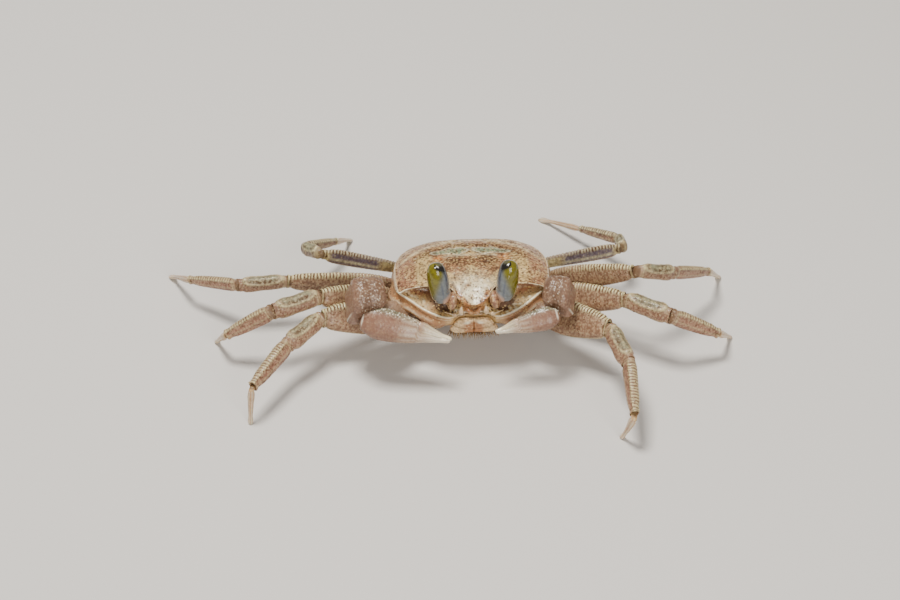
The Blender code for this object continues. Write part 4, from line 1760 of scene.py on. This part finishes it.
@dataclass
class Mouth:
    """The outer jaw legs."""

    body: Carapace
    pitch: float = 0.07

    def build(self) -> None:
        """Makes the two plates."""
        for side in Side:
            self.plate(side)

    def plate(self, side: Side) -> None:
        """One jaw plate: seamed across, orange-brown by the middle, with a pale spot.

        Args:
            side: Left or right.
        """
        word, inner = side.word, -side.value * self.body.right_to_left
        rings = node_rings(f"mouth_plate_{word}", self.body.near(0.0, -0.85, -0.2), inner)
        made, share, turn = closed_skin(turned_to_crest(rings, inner), self.pitch, round_ends=0.05)
        inside = np.cos(turn)
        seam = bump(share - 0.1 * inside, 0.52, 0.025)
        grain = cells(made.points, 0.3)
        ax = np.abs(self.body.plan(made.points)[0])
        inner_face = smoothstep(0.035, 0.015, ax)
        height = 0.03 * grain - 0.06 * seam + 0.04 * bump(share, 0.2, 0.1)
        made.raise_by(height + 0.09 * inner_face)
        centre = smoothstep(0.17, 0.09, ax) * smoothstep(0.12, 0.3, share)
        made.marks = blank_marks(share)
        made.marks.update(
            orange=0.25 * centre, tan=centre, cream=(0.5 + 0.5 * grain) * (1 - centre),
            pale=0.9 * spot(inside, share, (0.25, 0.24), (0.35, 0.07)),
            dark=0.35 * seam + 0.3 * smoothstep(0.12, 0.0, grain),
        )
        fit(made.build(f"jaw_plate_{word}", MOUTH_FINISH), f"mouth_plate_{word}", "mouth")


@dataclass(frozen=True)
class Pod:
    """An egg-shaped part of a feeler on the left side; the right side mirrors it."""

    place: tuple[float, float, float]  # in half widths
    out: float  # how far its narrow end points outwards
    up: float  # how far it points upwards
    size: tuple[float, float, float]  # half width, half depth and half length
    taper: float = 0.2  # how much narrower the far end is


ANTENNULE_PODS = (
    Pod((0.062, -0.845, -0.165), 0.8, 1.0, (0.30, 0.34, 0.52), 0.3),
    Pod((0.030, -0.845, -0.200), 1.0, -0.3, (0.20, 0.26, 0.34)),
)
ANTENNA_PODS = (
    Pod((0.160, -0.870, -0.150), -0.1, 1.0, (0.48, 0.36, 0.62), 0.75),
    Pod((0.245, -0.855, -0.215), 1.0, 0.3, (0.30, 0.30, 0.36)),
    Pod((0.270, -0.862, -0.205), 1.0, 0.4, (0.130, 0.130, 0.22)),
    Pod((0.300, -0.862, -0.193), 1.0, 0.4, (0.105, 0.105, 0.22)),
    Pod((0.330, -0.862, -0.181), 1.0, 0.4, (0.080, 0.080, 0.22)),
    Pod((0.360, -0.862, -0.169), 1.0, 0.4, (0.055, 0.055, 0.22)),
)


@dataclass
class SmallParts:
    """The folded feelers below the front, and the hair fringe under the jaw legs."""

    body: Carapace
    hairs: int = 130
    hair_seed: int = 7
    hair_root: float = 0.045  # half a hair's width at its root
    hair_tip: float = 0.006

    def build(self) -> None:
        """Makes the antennules, the antennae and the fringe."""
        for side in Side:
            self.feeler(side, f"antennule_{side.word}", ANTENNULE_PODS, ANTENNULE_FINISH)
            self.feeler(side, f"antenna_{side.word}", ANTENNA_PODS, FEELER_FINISH)
        self.fringe()

    def frame_at(self, place: Grid, along_to: Grid) -> Matrix:
        """A frame at a place, in millimetres, whose Z looks along a direction."""
        turned = Vector(along_to).to_track_quat("Z", "Y").to_matrix().to_4x4()
        return Matrix.Translation(Vector(place) * MM) @ turned

    def feeler(self, side: Side, name: str, pods: tuple[Pod, ...], finish: Finish) -> None:
        """Makes one feeler of egg-shaped pods.

        Args:
            side: Left or right.
            name: The piece's name.
            pods: Its parts.
            finish: What it is made of.
        """
        sign, body = side.value, self.body
        shape = bmesh.new()
        for pod in pods:
            made = bmesh.ops.create_uvsphere(shape, u_segments=20, v_segments=14, radius=1.0)
            for vert in made["verts"]:
                shrink = 1 - pod.taper * (vert.co.z + 1) / 2
                vert.co = Vector((vert.co.x * shrink, vert.co.y * shrink, vert.co.z))
            way = body.right_to_left * sign * pod.out + body.upwards * pod.up
            at = self.frame_at(body.place(sign * pod.place[0], *pod.place[1:]), way)
            scale = Matrix.Diagonal((*(Vector(pod.size) * MM), 1.0))
            bmesh.ops.transform(shape, matrix=at @ scale, verts=made["verts"])
        bmesh.ops.recalc_face_normals(shape, faces=shape.faces[:])
        fit(as_object(shape, name, finish), "", "mouth")

    def fringe(self) -> None:
        """Fine solid hairs along the lower edge of the jaw legs."""
        chance = np.random.default_rng(self.hair_seed)
        shape = bmesh.new()
        body = self.body
        for k in range(self.hairs):
            share = (k + chance.uniform()) / self.hairs * 2 - 1
            back = -0.765 + 0.05 * share**2 + chance.uniform(-0.02, 0.02)
            root = body.place(share * 0.31, back, -0.535)
            way = (
                -body.upwards * chance.uniform(0.7, 1.1)
                - body.to_back * chance.uniform(0.0, 0.9)
                + body.right_to_left * (share * 0.4 + chance.uniform(-0.35, 0.35))
            )
            long = chance.uniform(0.6, 1.15) * MM
            made = bmesh.ops.create_cone(
                shape, segments=5, radius1=self.hair_root * MM, radius2=self.hair_tip * MM,
                depth=long, cap_ends=True,
            )["verts"]
            place = self.frame_at(root, way) @ Matrix.Translation((0.0, 0.0, long / 2))
            bmesh.ops.transform(shape, matrix=place, verts=made)
        bmesh.ops.recalc_face_normals(shape, faces=shape.faces[:])
        fit(as_object(shape, "jaw_hair_fringe", HAIR_FINISH), "", "mouth")


# --------------------------------------------------------------------------- the studio


@dataclass
class Studio:
    """Floor, light and camera."""

    body: Carapace
    distance: float = 0.325  # from the camera to what it looks at, in metres
    elevation: float = 41.0
    lens: float = 100.0
    floor_size: float = 3.0  # half its width, in metres
    aim: tuple[float, float, float] = (-2.7, -1.8, -4.3)  # from the body's middle

    def build(self) -> None:
        """Sets the pale floor, the soft lights and the camera."""
        shape = bmesh.new()
        bmesh.ops.create_grid(shape, x_segments=1, y_segments=1, size=self.floor_size)
        as_object(shape, "floor", FLOOR_FINISH)

        target = Vector(self.body.middle + np.array(self.aim)) * MM
        self.lamp("key", target, (-0.07, 0.02, 0.38), 0.11, 2.0, (1.0, 0.96, 0.90))
        self.lamp("front", target, (0.12, -0.34, 0.20), 0.20, 1.0, (1.0, 0.96, 0.91))

        world = bpy.data.worlds.new("studio")
        world.use_nodes = True
        background = world.node_tree.nodes["Background"]
        background.inputs["Color"].default_value = (1.0, 0.98, 0.95, 1.0)
        background.inputs["Strength"].default_value = 0.25
        bpy.context.scene.world = world

        camera_data = bpy.data.cameras.new("camera")
        camera_data.lens = self.lens
        camera_data.sensor_width = 36.0
        camera_data.clip_start = 0.01
        camera = bpy.data.objects.new("camera", camera_data)
        bpy.context.scene.collection.objects.link(camera)
        tilt = radians(self.elevation)
        camera.location = target + Vector((0.0, -cos(tilt), sin(tilt))) * self.distance
        camera.rotation_euler = (pi / 2 - tilt, 0.0, 0.0)
        bpy.context.scene.camera = camera

    def lamp(
        self, name: str, target: Vector, offset: tuple, size: float, power: float, colour: tuple
    ) -> None:
        """Adds one soft square light that looks at the crab.

        Args:
            name: The light's name.
            target: Where it looks.
            offset: Where it stands from there, in metres.
            size: Its width in metres.
            power: Its power in watts.
            colour: Its colour.
        """
        data = bpy.data.lights.new(name, "AREA")
        data.size = size
        data.energy = power
        data.color = colour
        made = bpy.data.objects.new(name, data)
        bpy.context.scene.collection.objects.link(made)
        made.location = target + Vector(offset)
        made.rotation_euler = (-Vector(offset)).to_track_quat("-Z", "Y").to_euler()


def main() -> None:
    logging.basicConfig(level=logging.INFO, format="%(name)s %(message)s")
    body = Carapace()
    body.build()
    for side in Side:
        Eye(side, body).build()
        Claw(side, body).build()
        for number in (1, 2, 3, 4):
            Leg(number, side, body).build()
    Underside(body).build()
    Mouth(body).build()
    SmallParts(body).build()
    Studio(body).build()


if __name__ == "__main__":
    main()
